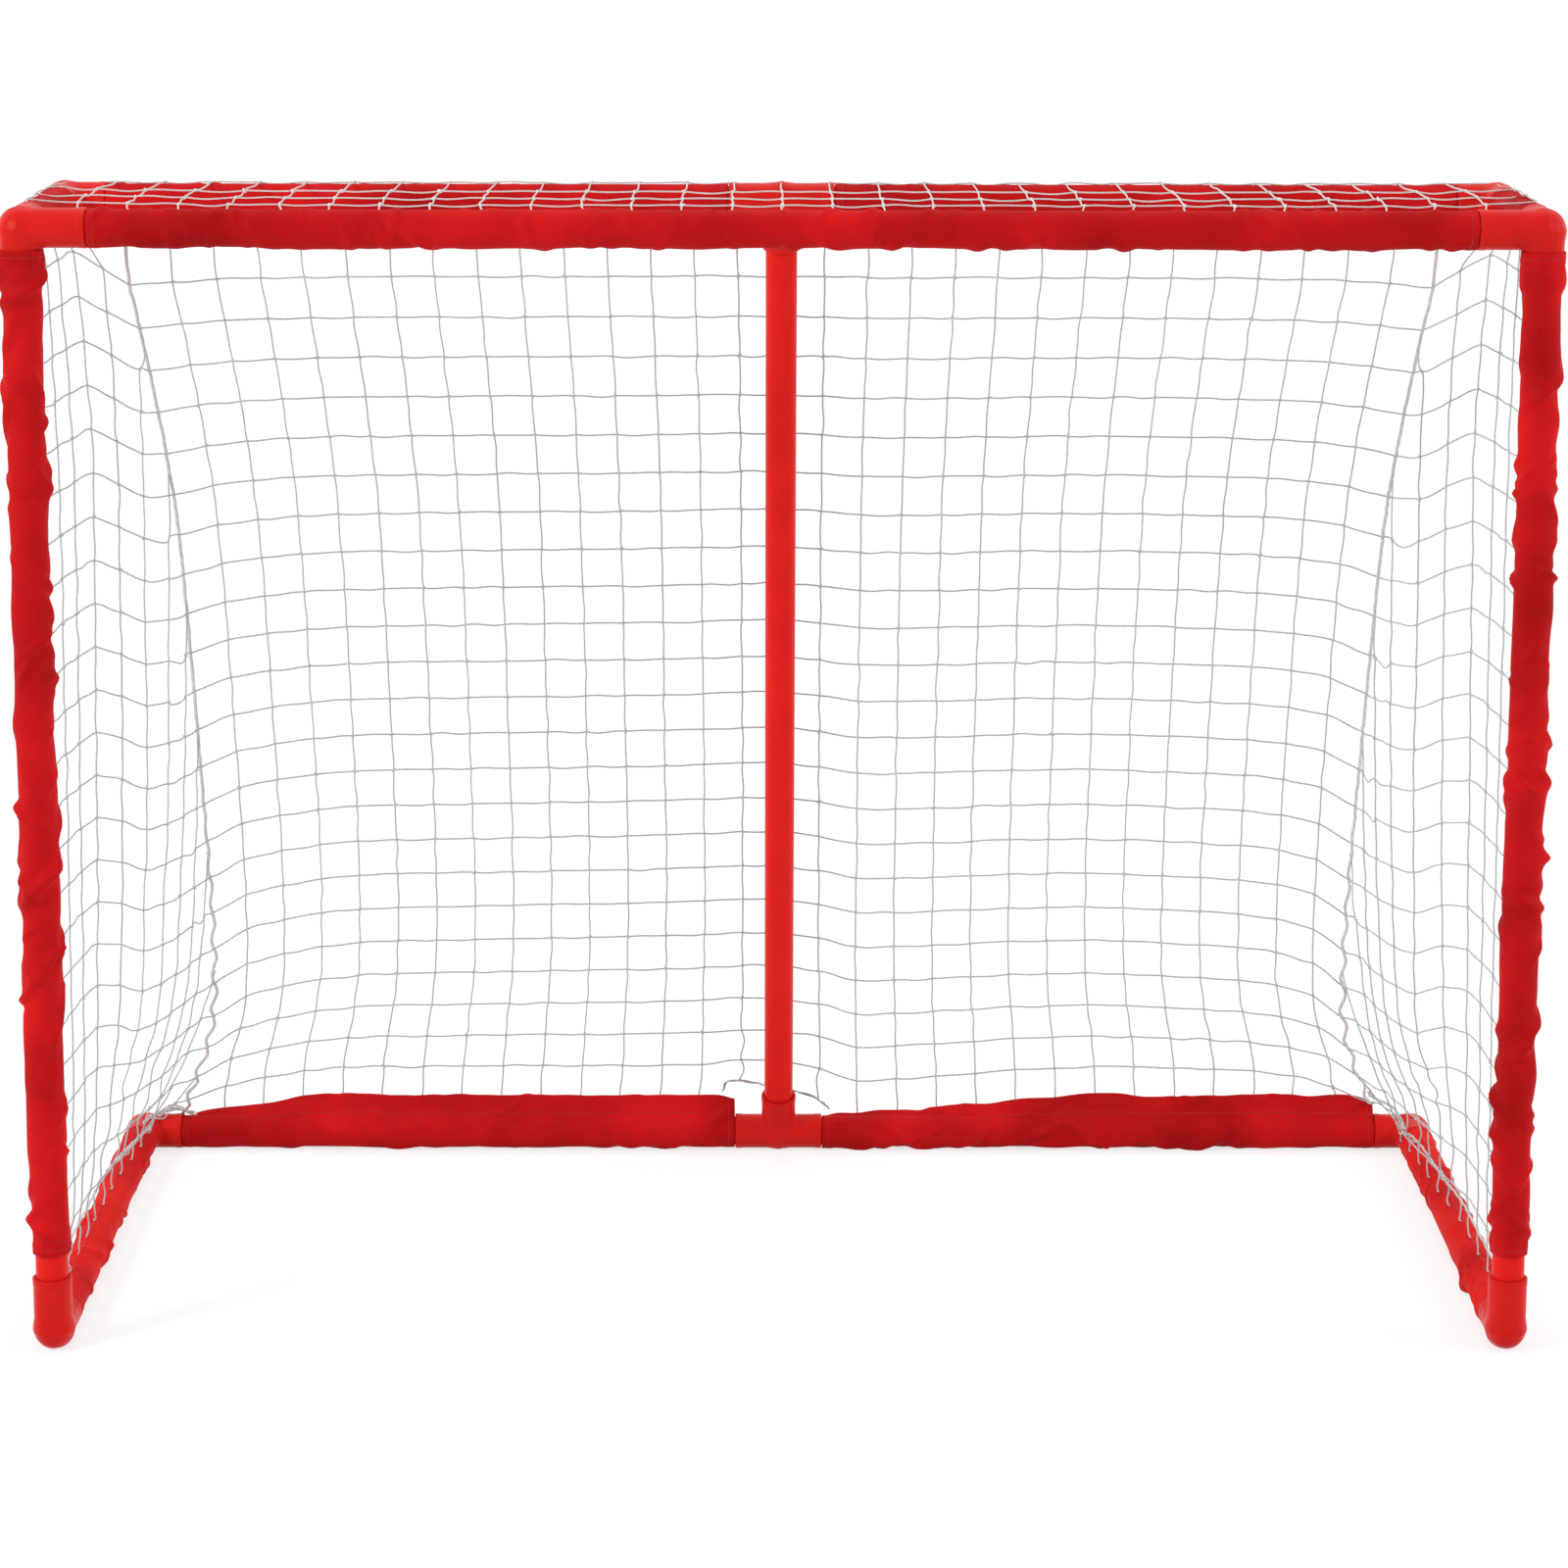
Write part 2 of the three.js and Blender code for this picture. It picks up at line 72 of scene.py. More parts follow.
@dataclass(frozen=True)
class Layout:
    """The goal's axes and sections, which repeat the CAD's own sizes in metres."""

    axis_x: float = 0.680
    front_y: float = -0.290
    top_rear_y: float = -0.050
    base_rear_y: float = 0.2917
    base_z: float = 0.0183
    top_z: float = 1.0517
    tube_radius: float = 0.015
    tube_wall: float = 0.0018
    fit: float = 0.0003
    bore_radius: float = 0.0153
    fitting_radius: float = 0.0179
    collar_radius: float = 0.0183
    collar_length: float = 0.007
    stop: float = 0.019
    sleeve_inner: float = 0.0155
    sleeve_outer: float = 0.0169
    end_gap: float = 0.001
    corner_crossbar: float = 0.060
    corner_post: float = 0.050
    corner_side: float = 0.048
    foot_post: float = 0.052
    foot_side: float = 0.045
    rear_elbow: float = 0.041
    base_tee_run: float = 0.046
    top_tee_run: float = 0.050
    tee_branch: float = 0.047
    post_sleeve_foot: float = 0.095
    floor_gap: float = 0.0004

    def point(self, x: float, y: float, z: float) -> Array:
        """A point of the row frame as an array."""
        return np.array([x, y, z], float)

    def corners(self, side: Side) -> tuple[Array, Array, Array, Array]:
        """Where the tubes of one side meet.

        Args:
            side: The side.

        Returns:
            The corners at the top front, top rear, base front and base rear.
        """
        x = side * self.axis_x
        return (
            self.point(x, self.front_y, self.top_z),
            self.point(x, self.top_rear_y, self.top_z),
            self.point(x, self.front_y, self.base_z),
            self.point(x, self.base_rear_y, self.base_z),
        )

    @property
    def base_centre(self) -> Array:
        """The middle of the rear base bar."""
        return self.point(0, self.base_rear_y, self.base_z)

    @property
    def top_centre(self) -> Array:
        """The middle of the rear top bar."""
        return self.point(0, self.top_rear_y, self.top_z)

    @property
    def slope_length(self) -> float:
        """The length of the strut's line between the two rear bars."""
        return float(np.linalg.norm(self.top_centre - self.base_centre))

    @property
    def slope_up(self) -> Array:
        """The direction of the strut, upwards."""
        return (self.top_centre - self.base_centre) / self.slope_length

    @property
    def slope_out(self) -> Array:
        """The direction square to the strut, backwards and upwards."""
        return np.array([0, self.slope_up[2], -self.slope_up[1]])


LAYOUT = Layout()
X_AXIS, Y_AXIS, Z_AXIS = np.eye(3)


class Slot(Enum):
    """The record's material slots."""

    FITTING = "fitting"
    TUBE = "tube"
    SLEEVE = "sleeve"
    NET = "net"
    CORD = "cord"


# Node trees


class Graph:
    """A node tree in the making."""

    def __init__(self, tree: NodeTree) -> None:
        """Takes the tree that it adds to."""
        self.tree = tree

    def feed(self, node: Node, inputs: dict[str | int, object]) -> None:
        """Sets or links inputs of a node.

        Args:
            node: The node.
            inputs: For each input, by name or number, a socket, a list of sockets or a plain value.
        """
        for label, given in inputs.items():
            for source in given if isinstance(given, list) else [given]:
                if isinstance(source, Socket):
                    self.tree.links.new(source, node.inputs[label])
                else:
                    node.inputs[label].default_value = source

    def add(
        self, kind: str, inputs: dict[str | int, object] | None = None, **settings: object
    ) -> Node:
        """Adds a node.

        Args:
            kind: Its type.
            inputs: What its inputs get, as feed takes it.
            settings: Its own settings, such as its operation.

        Returns:
            The node.
        """
        node = self.tree.nodes.new(kind)
        for label, value in settings.items():
            setattr(node, label, value)
        self.feed(node, inputs or {})
        return node

    def math(self, operation: str, *terms: object) -> Socket:
        """The result of a sum of sockets and numbers."""
        return self.add("ShaderNodeMath", dict(enumerate(terms)), operation=operation).outputs[0]

    def seen_directly(self) -> Socket:
        """One for rays from the camera, from reflections and through glass, and nothing for light.

        Returns:
            The socket.
        """
        ways = self.add("ShaderNodeLightPath").outputs
        through = self.math("MAXIMUM", ways["Is Camera Ray"], ways["Is Glossy Ray"])
        return self.math("MAXIMUM", through, ways["Is Transmission Ray"])


class Kit(Graph):
    """A shared tree with named inputs and outputs."""

    def __init__(
        self, name: str, kind: str, inputs: dict[str, float | int | str], outputs: dict[str, str]
    ) -> None:
        """Makes the tree and names its inputs and outputs.

        Args:
            name: Its name.
            kind: Its type.
            inputs: Its inputs by name. A number gives the input's value, and a word its kind alone.
            outputs: The kinds of its outputs, by name.
        """
        super().__init__(bpy.data.node_groups.new(name, kind))
        face = self.tree.interface
        for label, value in inputs.items():
            sort = {float: "Float", int: "Int"}.get(type(value), value)
            socket = face.new_socket(label, in_out="INPUT", socket_type=f"NodeSocket{sort}")
            if sort != value:
                socket.default_value = value
        for label, sort in outputs.items():
            face.new_socket(label, in_out="OUTPUT", socket_type=f"NodeSocket{sort}")
        self.come = self.add("NodeGroupInput").outputs
        self.leave = self.add("NodeGroupOutput")

    def store(self, geometry: Socket, name: str, value: Socket, kind: str = "FLOAT") -> Socket:
        """Keeps a value on a geometry by name.

        Args:
            geometry: The geometry.
            name: The value's name.
            value: The value.
            kind: What kind of value it is.

        Returns:
            The geometry with it.
        """
        inputs = {"Geometry": geometry, "Name": name, "Value": value}
        node = self.add("GeometryNodeStoreNamedAttribute", inputs, data_type=kind)
        return node.outputs["Geometry"]

    def read(self, name: str, kind: str = "FLOAT") -> Socket:
        """Reads a value that a geometry keeps by name."""
        node = self.add("GeometryNodeInputNamedAttribute", {"Name": name}, data_type=kind)
        return node.outputs["Attribute"]

    def chance(self, low: Sequence[float], high: Sequence[float]) -> Socket:
        """A random vector between two others, a new one for every place."""
        inputs = {"Min": low, "Max": high, "Seed": self.come["Seed"]}
        return self.add("FunctionNodeRandomValue", inputs, data_type="FLOAT_VECTOR").outputs["Value"]

    def scattered(self, points: Socket, shape: Socket, turn: Socket, size: Socket) -> Socket:
        """Sets a shape at every point and makes it real.

        Args:
            points: The points.
            shape: The shape.
            turn: Its rotation at each point.
            size: Its scale at each point.

        Returns:
            The geometry.
        """
        inputs = {"Points": points, "Instance": shape, "Rotation": turn, "Scale": size}
        placed = self.add("GeometryNodeInstanceOnPoints", inputs).outputs["Instances"]
        return self.add("GeometryNodeRealizeInstances", {"Geometry": placed}).outputs["Geometry"]

    def dressed(self, geometry: Socket) -> NodeTree:
        """Gives a geometry the material it is to wear, and ends the tree with it.

        Args:
            geometry: The geometry.

        Returns:
            The tree.
        """
        inputs = {"Geometry": geometry, "Material": self.come["Finish"]}
        worn = self.add("GeometryNodeSetMaterial", inputs).outputs["Geometry"]
        self.feed(self.leave, {"Geometry": worn})
        return self.tree


@cache
def mottle_group() -> NodeTree:
    """A broad and a fine noise: the mask of a surface's uneven tone and its fine height.

    Returns:
        The shader group.
    """
    sizes = {"Place": "Vector", "Broad Scale": 14.0, "Fine Scale": 900.0}
    kit = Kit("mottle", "ShaderNodeTree", sizes, {"Tone": "Float", "Height": "Float"})
    for scale, target, detail in (("Broad Scale", "Tone", 4.0), ("Fine Scale", "Height", 2.0)):
        inputs = {"Vector": kit.come["Place"], "Scale": kit.come[scale], "Detail": detail}
        kit.feed(kit.leave, {target: kit.add("ShaderNodeTexNoise", inputs).outputs["Fac"]})
    return kit.tree


@cache
def weave_group() -> NodeTree:
    """A plain weave of fine threads along and around a sleeve, from its surface coordinates.

    Returns:
        The shader group.
    """
    sizes = {"Place": "Vector", "Thread Scale": 1400.0}
    kit = Kit("weave", "ShaderNodeTree", sizes, {"Height": "Float"})
    inputs = {"Vector": kit.come["Place"], "Scale": kit.come["Thread Scale"], "Distortion": 0.6}
    waves = [kit.add("ShaderNodeTexWave", inputs, bands_direction=way).outputs["Fac"] for way in "XY"]
    kit.feed(kit.leave, {"Height": kit.math("MULTIPLY", *waves)})
    return kit.tree


@cache
def twist_group() -> NodeTree:
    """The strands of a laid cord, from the length along it and the turn around it.

    Returns:
        The shader group.
    """
    sizes = {"Place": "Vector", "Strands": 3.0, "Pitch": 0.009}
    kit = Kit("twist", "ShaderNodeTree", sizes, {"Height": "Float"})
    place = kit.add("ShaderNodeSeparateXYZ", {0: kit.come["Place"]}).outputs
    turns = kit.math("DIVIDE", place["X"], kit.come["Pitch"])
    strand = kit.math("MULTIPLY_ADD", place["Y"], kit.come["Strands"], turns)
    kit.feed(kit.leave, {"Height": kit.math("SINE", kit.math("MULTIPLY", strand, TAU))})
    return kit.tree


# Finishes


@dataclass(frozen=True)
class Relief:
    """A bump's strength and its depth in metres."""

    strength: float
    depth: float


class Shading(Graph):
    """A material in the making: its tree, its one surface shader and the piece's own coordinates."""

    def __init__(self, name: str) -> None:
        """Starts a material with a bare surface shader.

        Args:
            name: The material's name.
        """
        self.material = bpy.data.materials.new(name)
        self.material.use_nodes = True
        super().__init__(self.material.node_tree)
        self.tree.nodes.clear()
        self.surface = self.add("ShaderNodeBsdfPrincipled")
        self.add("ShaderNodeOutputMaterial", {"Surface": self.surface.outputs[0]})
        self.place = self.add("ShaderNodeTexCoord").outputs["Object"]

    def carried(self, name: str) -> Socket:
        """Reads a vector that the mesh carries."""
        return self.add("ShaderNodeAttribute", attribute_name=name).outputs["Vector"]

    def group(self, tree: NodeTree, inputs: dict[str, object]) -> bpy.types.NodeOutputs:
        """Places a shared group with values of its own."""
        return self.add("ShaderNodeGroup", inputs, node_tree=tree).outputs

    def mottle(self, broad: float, fine: float) -> tuple[Socket, Socket]:
        """Places the mottle on the piece's own coordinates.

        Args:
            broad: How many clouds of tone lie in a metre.
            fine: How many grains lie in a metre.

        Returns:
            The mask of the tone, and the fine height.
        """
        inputs = {"Place": self.place, "Broad Scale": broad, "Fine Scale": fine}
        made = self.group(mottle_group(), inputs)
        return made["Tone"], made["Height"]

    def ramp(self, mask: Socket, low: Sequence[float], high: Sequence[float]) -> Socket:
        """Mixes two colours by a mask that is widened round its middle.

        Args:
            mask: The mask.
            low: The colour where the mask is low.
            high: The colour where the mask is high.

        Returns:
            The mixed colour.
        """
        ramp = self.add("ShaderNodeValToRGB", {"Fac": mask})
        for place, element, colour in zip((0.3, 0.7), ramp.color_ramp.elements, (low, high)):
            element.position = place
            element.color = (*colour, 1)
        return ramp.outputs["Color"]

    def bump(self, height: Socket, relief: Relief, base: Socket | None = None) -> Socket:
        """A bump of one height over another normal.

        Args:
            height: The height.
            relief: How strongly and how deep it shows.
            base: The normal it stands on.

        Returns:
            The bumped normal.
        """
        inputs = {"Strength": relief.strength, "Distance": relief.depth, "Height": height}
        under = {} if base is None else {"Normal": base}
        return self.add("ShaderNodeBump", inputs | under).outputs["Normal"]

    def finished(self, values: dict[str, object]) -> Material:
        """Feeds the surface shader and gives the material."""
        self.feed(self.surface, values)
        return self.material


def linear(colour: str) -> tuple[float, float, float]:
    """Turns a colour written as six hex digits into linear light."""
    parts = [int(colour[i : i + 2], 16) / 255 for i in (0, 2, 4)]
    return tuple(c / 12.92 if c <= 0.04045 else ((c + 0.055) / 1.055) ** 2.4 for c in parts)


@dataclass(frozen=True)
class Finish:
    """A finish makes its material once and hands it to every piece that wears it."""

    name: str
    slot: Slot
    low: str
    high: str

    def make(self) -> Material:
        """Makes the material."""
        raise NotImplementedError

    def tone(self, shader: Shading, mask: Socket) -> Socket:
        """The finish's colour, between its low and its high one by a mask."""
        return shader.ramp(mask, linear(self.low), linear(self.high))

    def material(self) -> Material:
        """The finish's material, made at its first use."""
        return bpy.data.materials.get(self.name) or self.make()

    def dress(self, piece: Object) -> None:
        """Puts the finish on a piece.

        Args:
            piece: The piece.
        """
        piece.data.materials.clear()
        piece.data.materials.append(self.material())


@dataclass(frozen=True)
class Plastic(Finish):
    """Glossy coloured plastic with a faint mottle, flow marks and fine scuffs."""

    roughness: float
    gloss: float
    grain: float
    glint: str = "FFB0A0"
    clouds: float = 22.0
    polish: float = 0.06
    scuff: float = 0.1
    relief: Relief = Relief(0.12, 0.0002)

    def make(self) -> Material:
        """Makes the plastic.

        Returns:
            The material.
        """
        shader = Shading(self.name)
        tone, height = shader.mottle(self.clouds, self.grain)
        ends = {"To Min": self.roughness - self.polish, "To Max": self.roughness + self.scuff}
        rough = shader.add("ShaderNodeMapRange", {"Value": tone} | ends)
        return shader.finished(
            {
                "Base Color": self.tone(shader, tone),
                "Roughness": rough.outputs[0],
                "Normal": shader.bump(height, self.relief),
                "Specular IOR Level": self.gloss,
                "Specular Tint": (*linear(self.glint), 1),
            }
        )


@dataclass(frozen=True)
class Fabric(Finish):
    """Woven sleeve fabric: uneven dye, threads, and a soft sheen."""

    sheen: str
    clouds: float = 9.0
    grain: float = 350.0
    threads: float = 420.0
    creasing: Relief = Relief(0.35, 0.0006)
    weaving: Relief = Relief(0.25, 0.0002)

    def make(self) -> Material:
        """Makes the fabric.

        Returns:
            The material.
        """
        shader = Shading(self.name)
        tone, height = shader.mottle(self.clouds, self.grain)
        flat = {"Place": shader.carried("cloth"), "Thread Scale": self.threads}
        weave = shader.group(weave_group(), flat)["Height"]
        return shader.finished(
            {
                "Base Color": self.tone(shader, tone),
                "Normal": shader.bump(weave, self.weaving, shader.bump(height, self.creasing)),
                "Roughness": 0.62,
                "Specular IOR Level": 0.05,
                "Sheen Weight": 0.12,
                "Sheen Roughness": 0.28,
                "Sheen Tint": (*linear(self.sheen), 1),
            }
        )


@dataclass(frozen=True)
class Twine(Finish):
    """Laid cord with twisted strands, its colour darker in the grooves between them as painted shade."""

    pitch: float
    strands: float = 3.0
    clouds: float = 30.0
    grain: float = 1500.0
    laying: Relief = Relief(0.6, 0.0003)
    fuzz: Relief = Relief(0.3, 0.0002)

    def make(self) -> Material:
        """Makes the twine.

        Returns:
            The material.
        """
        shader = Shading(self.name)
        lay = {"Strands": self.strands, "Pitch": self.pitch, "Place": shader.carried("laid")}
        twist = shader.group(twist_group(), lay)["Height"]
        tone, height = shader.mottle(self.clouds, self.grain)
        # The grooves between the strands are darker in colour: painted shade, mixed with the random tone.
        painted_groove_shade = shader.add("ShaderNodeMapRange", {"Value": twist, "From Min": -1.0, "From Max": 1.0})
        mask = shader.math("MULTIPLY", painted_groove_shade.outputs[0], tone)
        return shader.finished(
            {
                "Base Color": self.tone(shader, mask),
                "Normal": shader.bump(height, self.fuzz, shader.bump(twist, self.laying)),
                "Roughness": 0.8,
                "Sheen Weight": 0.2,
            }
        )


MOULDED = Plastic("moulded_red", Slot.FITTING, "C81D1B", "D6221F", 0.34, 0.10, 700.0)
PIPE = Plastic("pipe_red", Slot.TUBE, "DC1E1A", "E4221D", 0.38, 0.09, 500.0)
CLOTH = Fabric("sleeve_red", Slot.SLEEVE, "A00C10", "D1171A", "E02A20")
# A brighter copy of the sleeve cloth for the base side sleeves: painted light, for the stronger light that
# falls on them.
PAINTED_LIGHT_SIDE_CLOTH = Fabric("side_sleeve_red", Slot.SLEEVE, "B91416", "E92720", "EC3426")
# One white twine in two copies: greyed for the rear and side panels as painted shade, and paler for the
# top panel as painted light from above.
SHADED_NET_TWINE = Twine("net_twine", Slot.NET, "B8BABC", "D0D2D3", 0.007)
LIT_TOP_TWINE = Twine("top_twine", Slot.NET, "D8D6D3", "EEECE8", 0.007)
SEAM_TWINE = Twine("seam_twine", Slot.CORD, "C8C6C3", "E2E0DC", 0.011)
THREAD = Twine("stitch_thread", Slot.SLEEVE, "A8171A", "C42022", 0.002)


# Camera and stage


@dataclass(frozen=True)
class PhotoCamera:
    """The camera of the photograph, fitted to measured points of it."""

    x: float = -0.0180
    y: float = -3.9955
    z: float = 1.4490
    yaw: float = 0.0053
    pitch: float = 0.1834
    roll: float = 0.0021
    lens: float = 95.7
    sensor: float = 36.0
    shift_y: float = -0.15
    nearest: float = 0.1
    farthest: float = 200.0

    def axes(self) -> Matrix:
        """The camera's rotation.

        Returns:
            Its right, up and backward directions as columns.
        """
        ahead = math.cos(self.pitch)
        forward = Vector((math.sin(self.yaw) * ahead, math.cos(self.yaw) * ahead, -math.sin(self.pitch)))
        right = Vector((math.cos(self.yaw), -math.sin(self.yaw), 0))
        up = right.cross(forward)
        turned_right = right * math.cos(self.roll) + up * math.sin(self.roll)
        turned_up = up * math.cos(self.roll) - right * math.sin(self.roll)
        return Matrix((turned_right, turned_up, -forward)).transposed()

    def build(self) -> None:
        """Makes the camera and sets it as the scene's."""
        data = bpy.data.cameras.new("photo_camera")
        data.lens = self.lens
        data.sensor_width = self.sensor
        data.shift_y = self.shift_y
        data.clip_start = self.nearest
        data.clip_end = self.farthest
        camera = add_object("photo_camera", data)
        camera.matrix_world = Matrix.Translation((self.x, self.y, self.z)) @ self.axes().to_4x4()
        bpy.context.scene.camera = camera


@dataclass(frozen=True)
class Lamp:
    """One soft area lamp that looks at the middle of the goal."""

    name: str
    place: tuple[float, float, float]
    size: float
    power: float
    target: tuple[float, float, float] = (0, 0, 0.5)

    def build(self) -> Object:
        """Makes the lamp.

        Returns:
            The lamp object.
        """
        data = bpy.data.lights.new(self.name, "AREA")
        data.shape = "DISK"
        data.size = self.size
        data.energy = self.power
        lamp = add_object(self.name, data)
        lamp.location = self.place
        aim = Vector(self.target) - Vector(self.place)
        lamp.rotation_euler = aim.to_track_quat("-Z", "Y").to_euler()
        return lamp


@dataclass(frozen=True)
class Stage:
    """The pale floor, the white surroundings and the lamps."""

    floor_radius: float = 60.0
    floor_sides: int = 96
    floor_tone: float = 0.86
    floor_mottle: float = 0.02
    floor_shadow: float = 0.28
    floor_white: float = 0.74
    floor_far: float = 0.09
    whitens_from: float = 1.5
    whitens_to: float = 8.0
    ambient: float = 0.05
    sides_light: float = 0.95
    zenith_light: float = 0.58
    lamps: tuple[Lamp, ...] = (
        Lamp("key_lamp", (-3.2, -2.4, 2.8), 0.9, 86),
        Lamp("fill_lamp", (3.8, -1.3, 2.2), 1.6, 50),
        Lamp("top_lamp", (0.0, 1.2, 4.0), 2.6, 26),
    )

    def build(self) -> None:
        """Makes the floor, the surroundings and the lamps."""
        bpy.context.scene.view_settings.view_transform = "Standard"
        turns = [TAU * i / self.floor_sides for i in range(self.floor_sides)]
        ring = [(self.floor_radius * math.cos(a), self.floor_radius * math.sin(a), 0) for a in turns]
        mesh = bpy.data.meshes.new("floor")
        mesh.from_pydata(ring, [], [list(range(self.floor_sides))])
        mesh.materials.append(self.floor_material())
        add_object("floor", mesh)
        [lamp.build() for lamp in self.lamps]
        self.surroundings()

    def floor_material(self) -> Material:
        """A pale, matt floor with a faint mottle, which looks white with shadows.

        Returns:
            The material.
        """
        shader = Shading("floor_paper")
        noise = shader.add("ShaderNodeTexNoise", {"Vector": shader.place, "Scale": 1.5, "Detail": 2.0})
        pale, paler = (self.floor_tone,) * 3, (self.floor_tone + self.floor_mottle,) * 3
        tone = shader.ramp(noise.outputs["Fac"], pale, paler)
        seen = shader.seen_directly()
        shade = (*(self.floor_shadow,) * 3, 1)
        mix = shader.add("ShaderNodeMix", {"Factor": seen, 6: tone, 7: shade}, data_type="RGBA")
        away = shader.add("ShaderNodeVectorMath", {0: shader.place}, operation="LENGTH")
        reach = {"From Min": self.whitens_from, "From Max": self.whitens_to}
        ends = {"To Min": self.floor_white, "To Max": self.floor_white + self.floor_far}
        inputs = {"Value": away.outputs["Value"]} | reach | ends
        white = shader.add("ShaderNodeMapRange", inputs)
        return shader.finished(
            {
                "Base Color": mix.outputs[2],
                "Emission Color": WHITE,
                "Emission Strength": shader.math("MULTIPLY", seen, white.outputs["Result"]),
                "Roughness": 0.9,
                "Specular IOR Level": 0.1,
            }
        )

    def surroundings(self) -> None:
        """Plain white to the camera and to reflections; as light, brighter above and at the sides."""
        world = bpy.data.worlds.new("studio")
        world.use_nodes = True
        bpy.context.scene.world = world
        sky = Graph(world.node_tree)
        sky.tree.nodes.clear()
        way = sky.add("ShaderNodeTexCoord").outputs["Generated"]
        parts = sky.add("ShaderNodeSeparateXYZ", {0: way}).outputs
        beside = sky.math("MULTIPLY", sky.math("POWER", parts["X"], 2.0), self.sides_light)
        above = sky.math("MULTIPLY", sky.math("MAXIMUM", parts["Z"], 0.0), self.zenith_light)
        light = sky.math("ADD", sky.math("ADD", beside, above), self.ambient)
        strength = sky.add("ShaderNodeMix", {"Factor": sky.seen_directly(), "A": light, "B": 1.0})
        inputs = {"Color": WHITE, "Strength": strength.outputs["Result"]}
        back = sky.add("ShaderNodeBackground", inputs)
        sky.add("ShaderNodeOutputWorld", {"Surface": back.outputs[0]})


# Meshes


def add_object(name: str, data: bpy.types.ID) -> Object:
    """Links new data into the scene as an object at the origin.

    Args:
        name: The object's name.
        data: Its data.

    Returns:
        The object.
    """
    made = bpy.data.objects.new(name, data)
    bpy.context.scene.collection.objects.link(made)
    return made


def mesh_object(name: str, points: Array, faces: Array, cloth: Array | None = None) -> Object:
    """Makes a smooth mesh object.

    Args:
        name: The object's name.
        points: Its vertices.
        faces: Its faces, quads or triangles, facing outwards.
        cloth: Flat coordinates of the vertices for a woven finish.

    Returns:
        The object.
    """
    mesh = bpy.data.meshes.new(name)
    mesh.from_pydata(points.tolist(), [], faces.tolist())
    mesh.shade_smooth()
    if cloth is not None:
        store = mesh.attributes.new("cloth", "FLOAT_VECTOR", "POINT")
        store.data.foreach_set("vector", np.ascontiguousarray(cloth, np.float32).ravel())
    mesh.update()
    return add_object(name, mesh)


def line_object(
    name: str, lines: Sequence[Array], knots: Sequence[bool] | None = None
) -> Object:
    """Makes an object of loose edges, which a geometry tree then works on.

    Args:
        name: The object's name.
        lines: The points of each line in order.
        knots: For each point, whether it carries a knot.

    Returns:
        The object.
    """
    edges = []
    first = 0
    for line in lines:
        edges += [(first + k, first + k + 1) for k in range(len(line) - 1)]
        first += len(line)
    mesh = bpy.data.meshes.new(name)
    mesh.from_pydata(np.concatenate(lines).tolist(), edges, [])
    if knots is not None:
        mesh.attributes.new("knot", "BOOLEAN", "POINT").data.foreach_set("value", knots)
    return add_object(name, mesh)


def wrapped_faces(rows: int, columns: int) -> Array:
    """The quads of a grid that closes on itself both ways, as a ring does.

    Args:
        rows: How many rings of points it has.
        columns: How many points a ring has.

    Returns:
        The quads.
    """
    row, column = np.meshgrid(np.arange(rows), np.arange(columns), indexing="ij")
    after, beside = (row + 1) % rows, (column + 1) % columns
    corners = [row * columns + column, row * columns + beside]
    corners += [after * columns + beside, after * columns + column]
    return np.stack([c.ravel() for c in corners], axis=1)


def facing_out(points: Array, faces: Array) -> Array:
    """Turns the faces over if the closed mesh they make faces inwards.

    Args:
        points: The vertices.
        faces: The quads.

    Returns:
        The quads, facing outwards.
    """
    a, b, c, d = (points[faces[:, k]] for k in range(4))
    volume = (a * np.cross(b, c)).sum() + (a * np.cross(c, d)).sum()
    return faces if volume > 0 else faces[:, ::-1]


def above_floor(points: Array) -> Array:
    """Flattens what would reach through the floor.

    Args:
        points: The points.

    Returns:
        The points, none of them lower than the goal stands.
    """
    kept = points.copy()
    kept[..., 2] = np.maximum(kept[..., 2], LAYOUT.floor_gap)
    return kept


def across(direction: Array, hint: Array) -> tuple[Array, Array]:
    """Two unit vectors square to a direction.

    Args:
        direction: The direction, of length one.
        hint: What the first of them lies nearest to.

    Returns:
        The two vectors.
    """
    first = hint - direction * (hint @ direction)
    first /= np.linalg.norm(first)
    return first, np.cross(direction, first)


def spans(points: Array) -> Array:
    """The lengths between points in order."""
    return np.linalg.norm(np.diff(points, axis=0), axis=1)


def eased(share: Array) -> Array:
    """A share from nought to one that starts and ends gently."""
    return share * share * (3 - 2 * share)


def bell(away: Array, reach: float, power: int = 2) -> Array:
    """One at nought, falling off over a reach."""
    return np.exp(-((away / reach) ** power))


def apply_nodes(carrier: Object, tree: NodeTree, values: dict[str, object], name: str) -> Object:
    """Runs a geometry tree on an object and keeps the result as a plain mesh.

    Args:
        carrier: The object that the tree reads. It is removed afterwards.
        tree: The geometry tree.
        values: The values of its inputs, by name.
        name: The name of the new piece.

    Returns:
        The new piece.
    """
    modifier = carrier.modifiers.new("make", "NODES")
    modifier.node_group = tree
    for item in tree.interface.items_tree:
        if item.item_type == "SOCKET" and item.in_out == "INPUT" and item.name in values:
            modifier[item.identifier] = values[item.name]
    graph = bpy.context.evaluated_depsgraph_get()
    graph.update()
    mesh = bpy.data.meshes.new_from_object(carrier.evaluated_get(graph), depsgraph=graph)
    mesh.name = name
    carrier.modifiers.remove(modifier)
    bpy.data.objects.remove(carrier)
    return add_object(name, mesh)


def seat(piece: Object, node: str | None = None) -> Object:
    """Fixes a finished piece to the goal's one body and reports it.

    Args:
        piece: The piece.
        node: The CAD node that it stands for, where it stands for one.

    Returns:
        The piece.
    """
    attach(piece, BODY)
    if node:
        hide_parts(node)
    LOG.info("%s: %d faces", piece.name, len(piece.data.polygons))
    return piece


# Moulded fittings


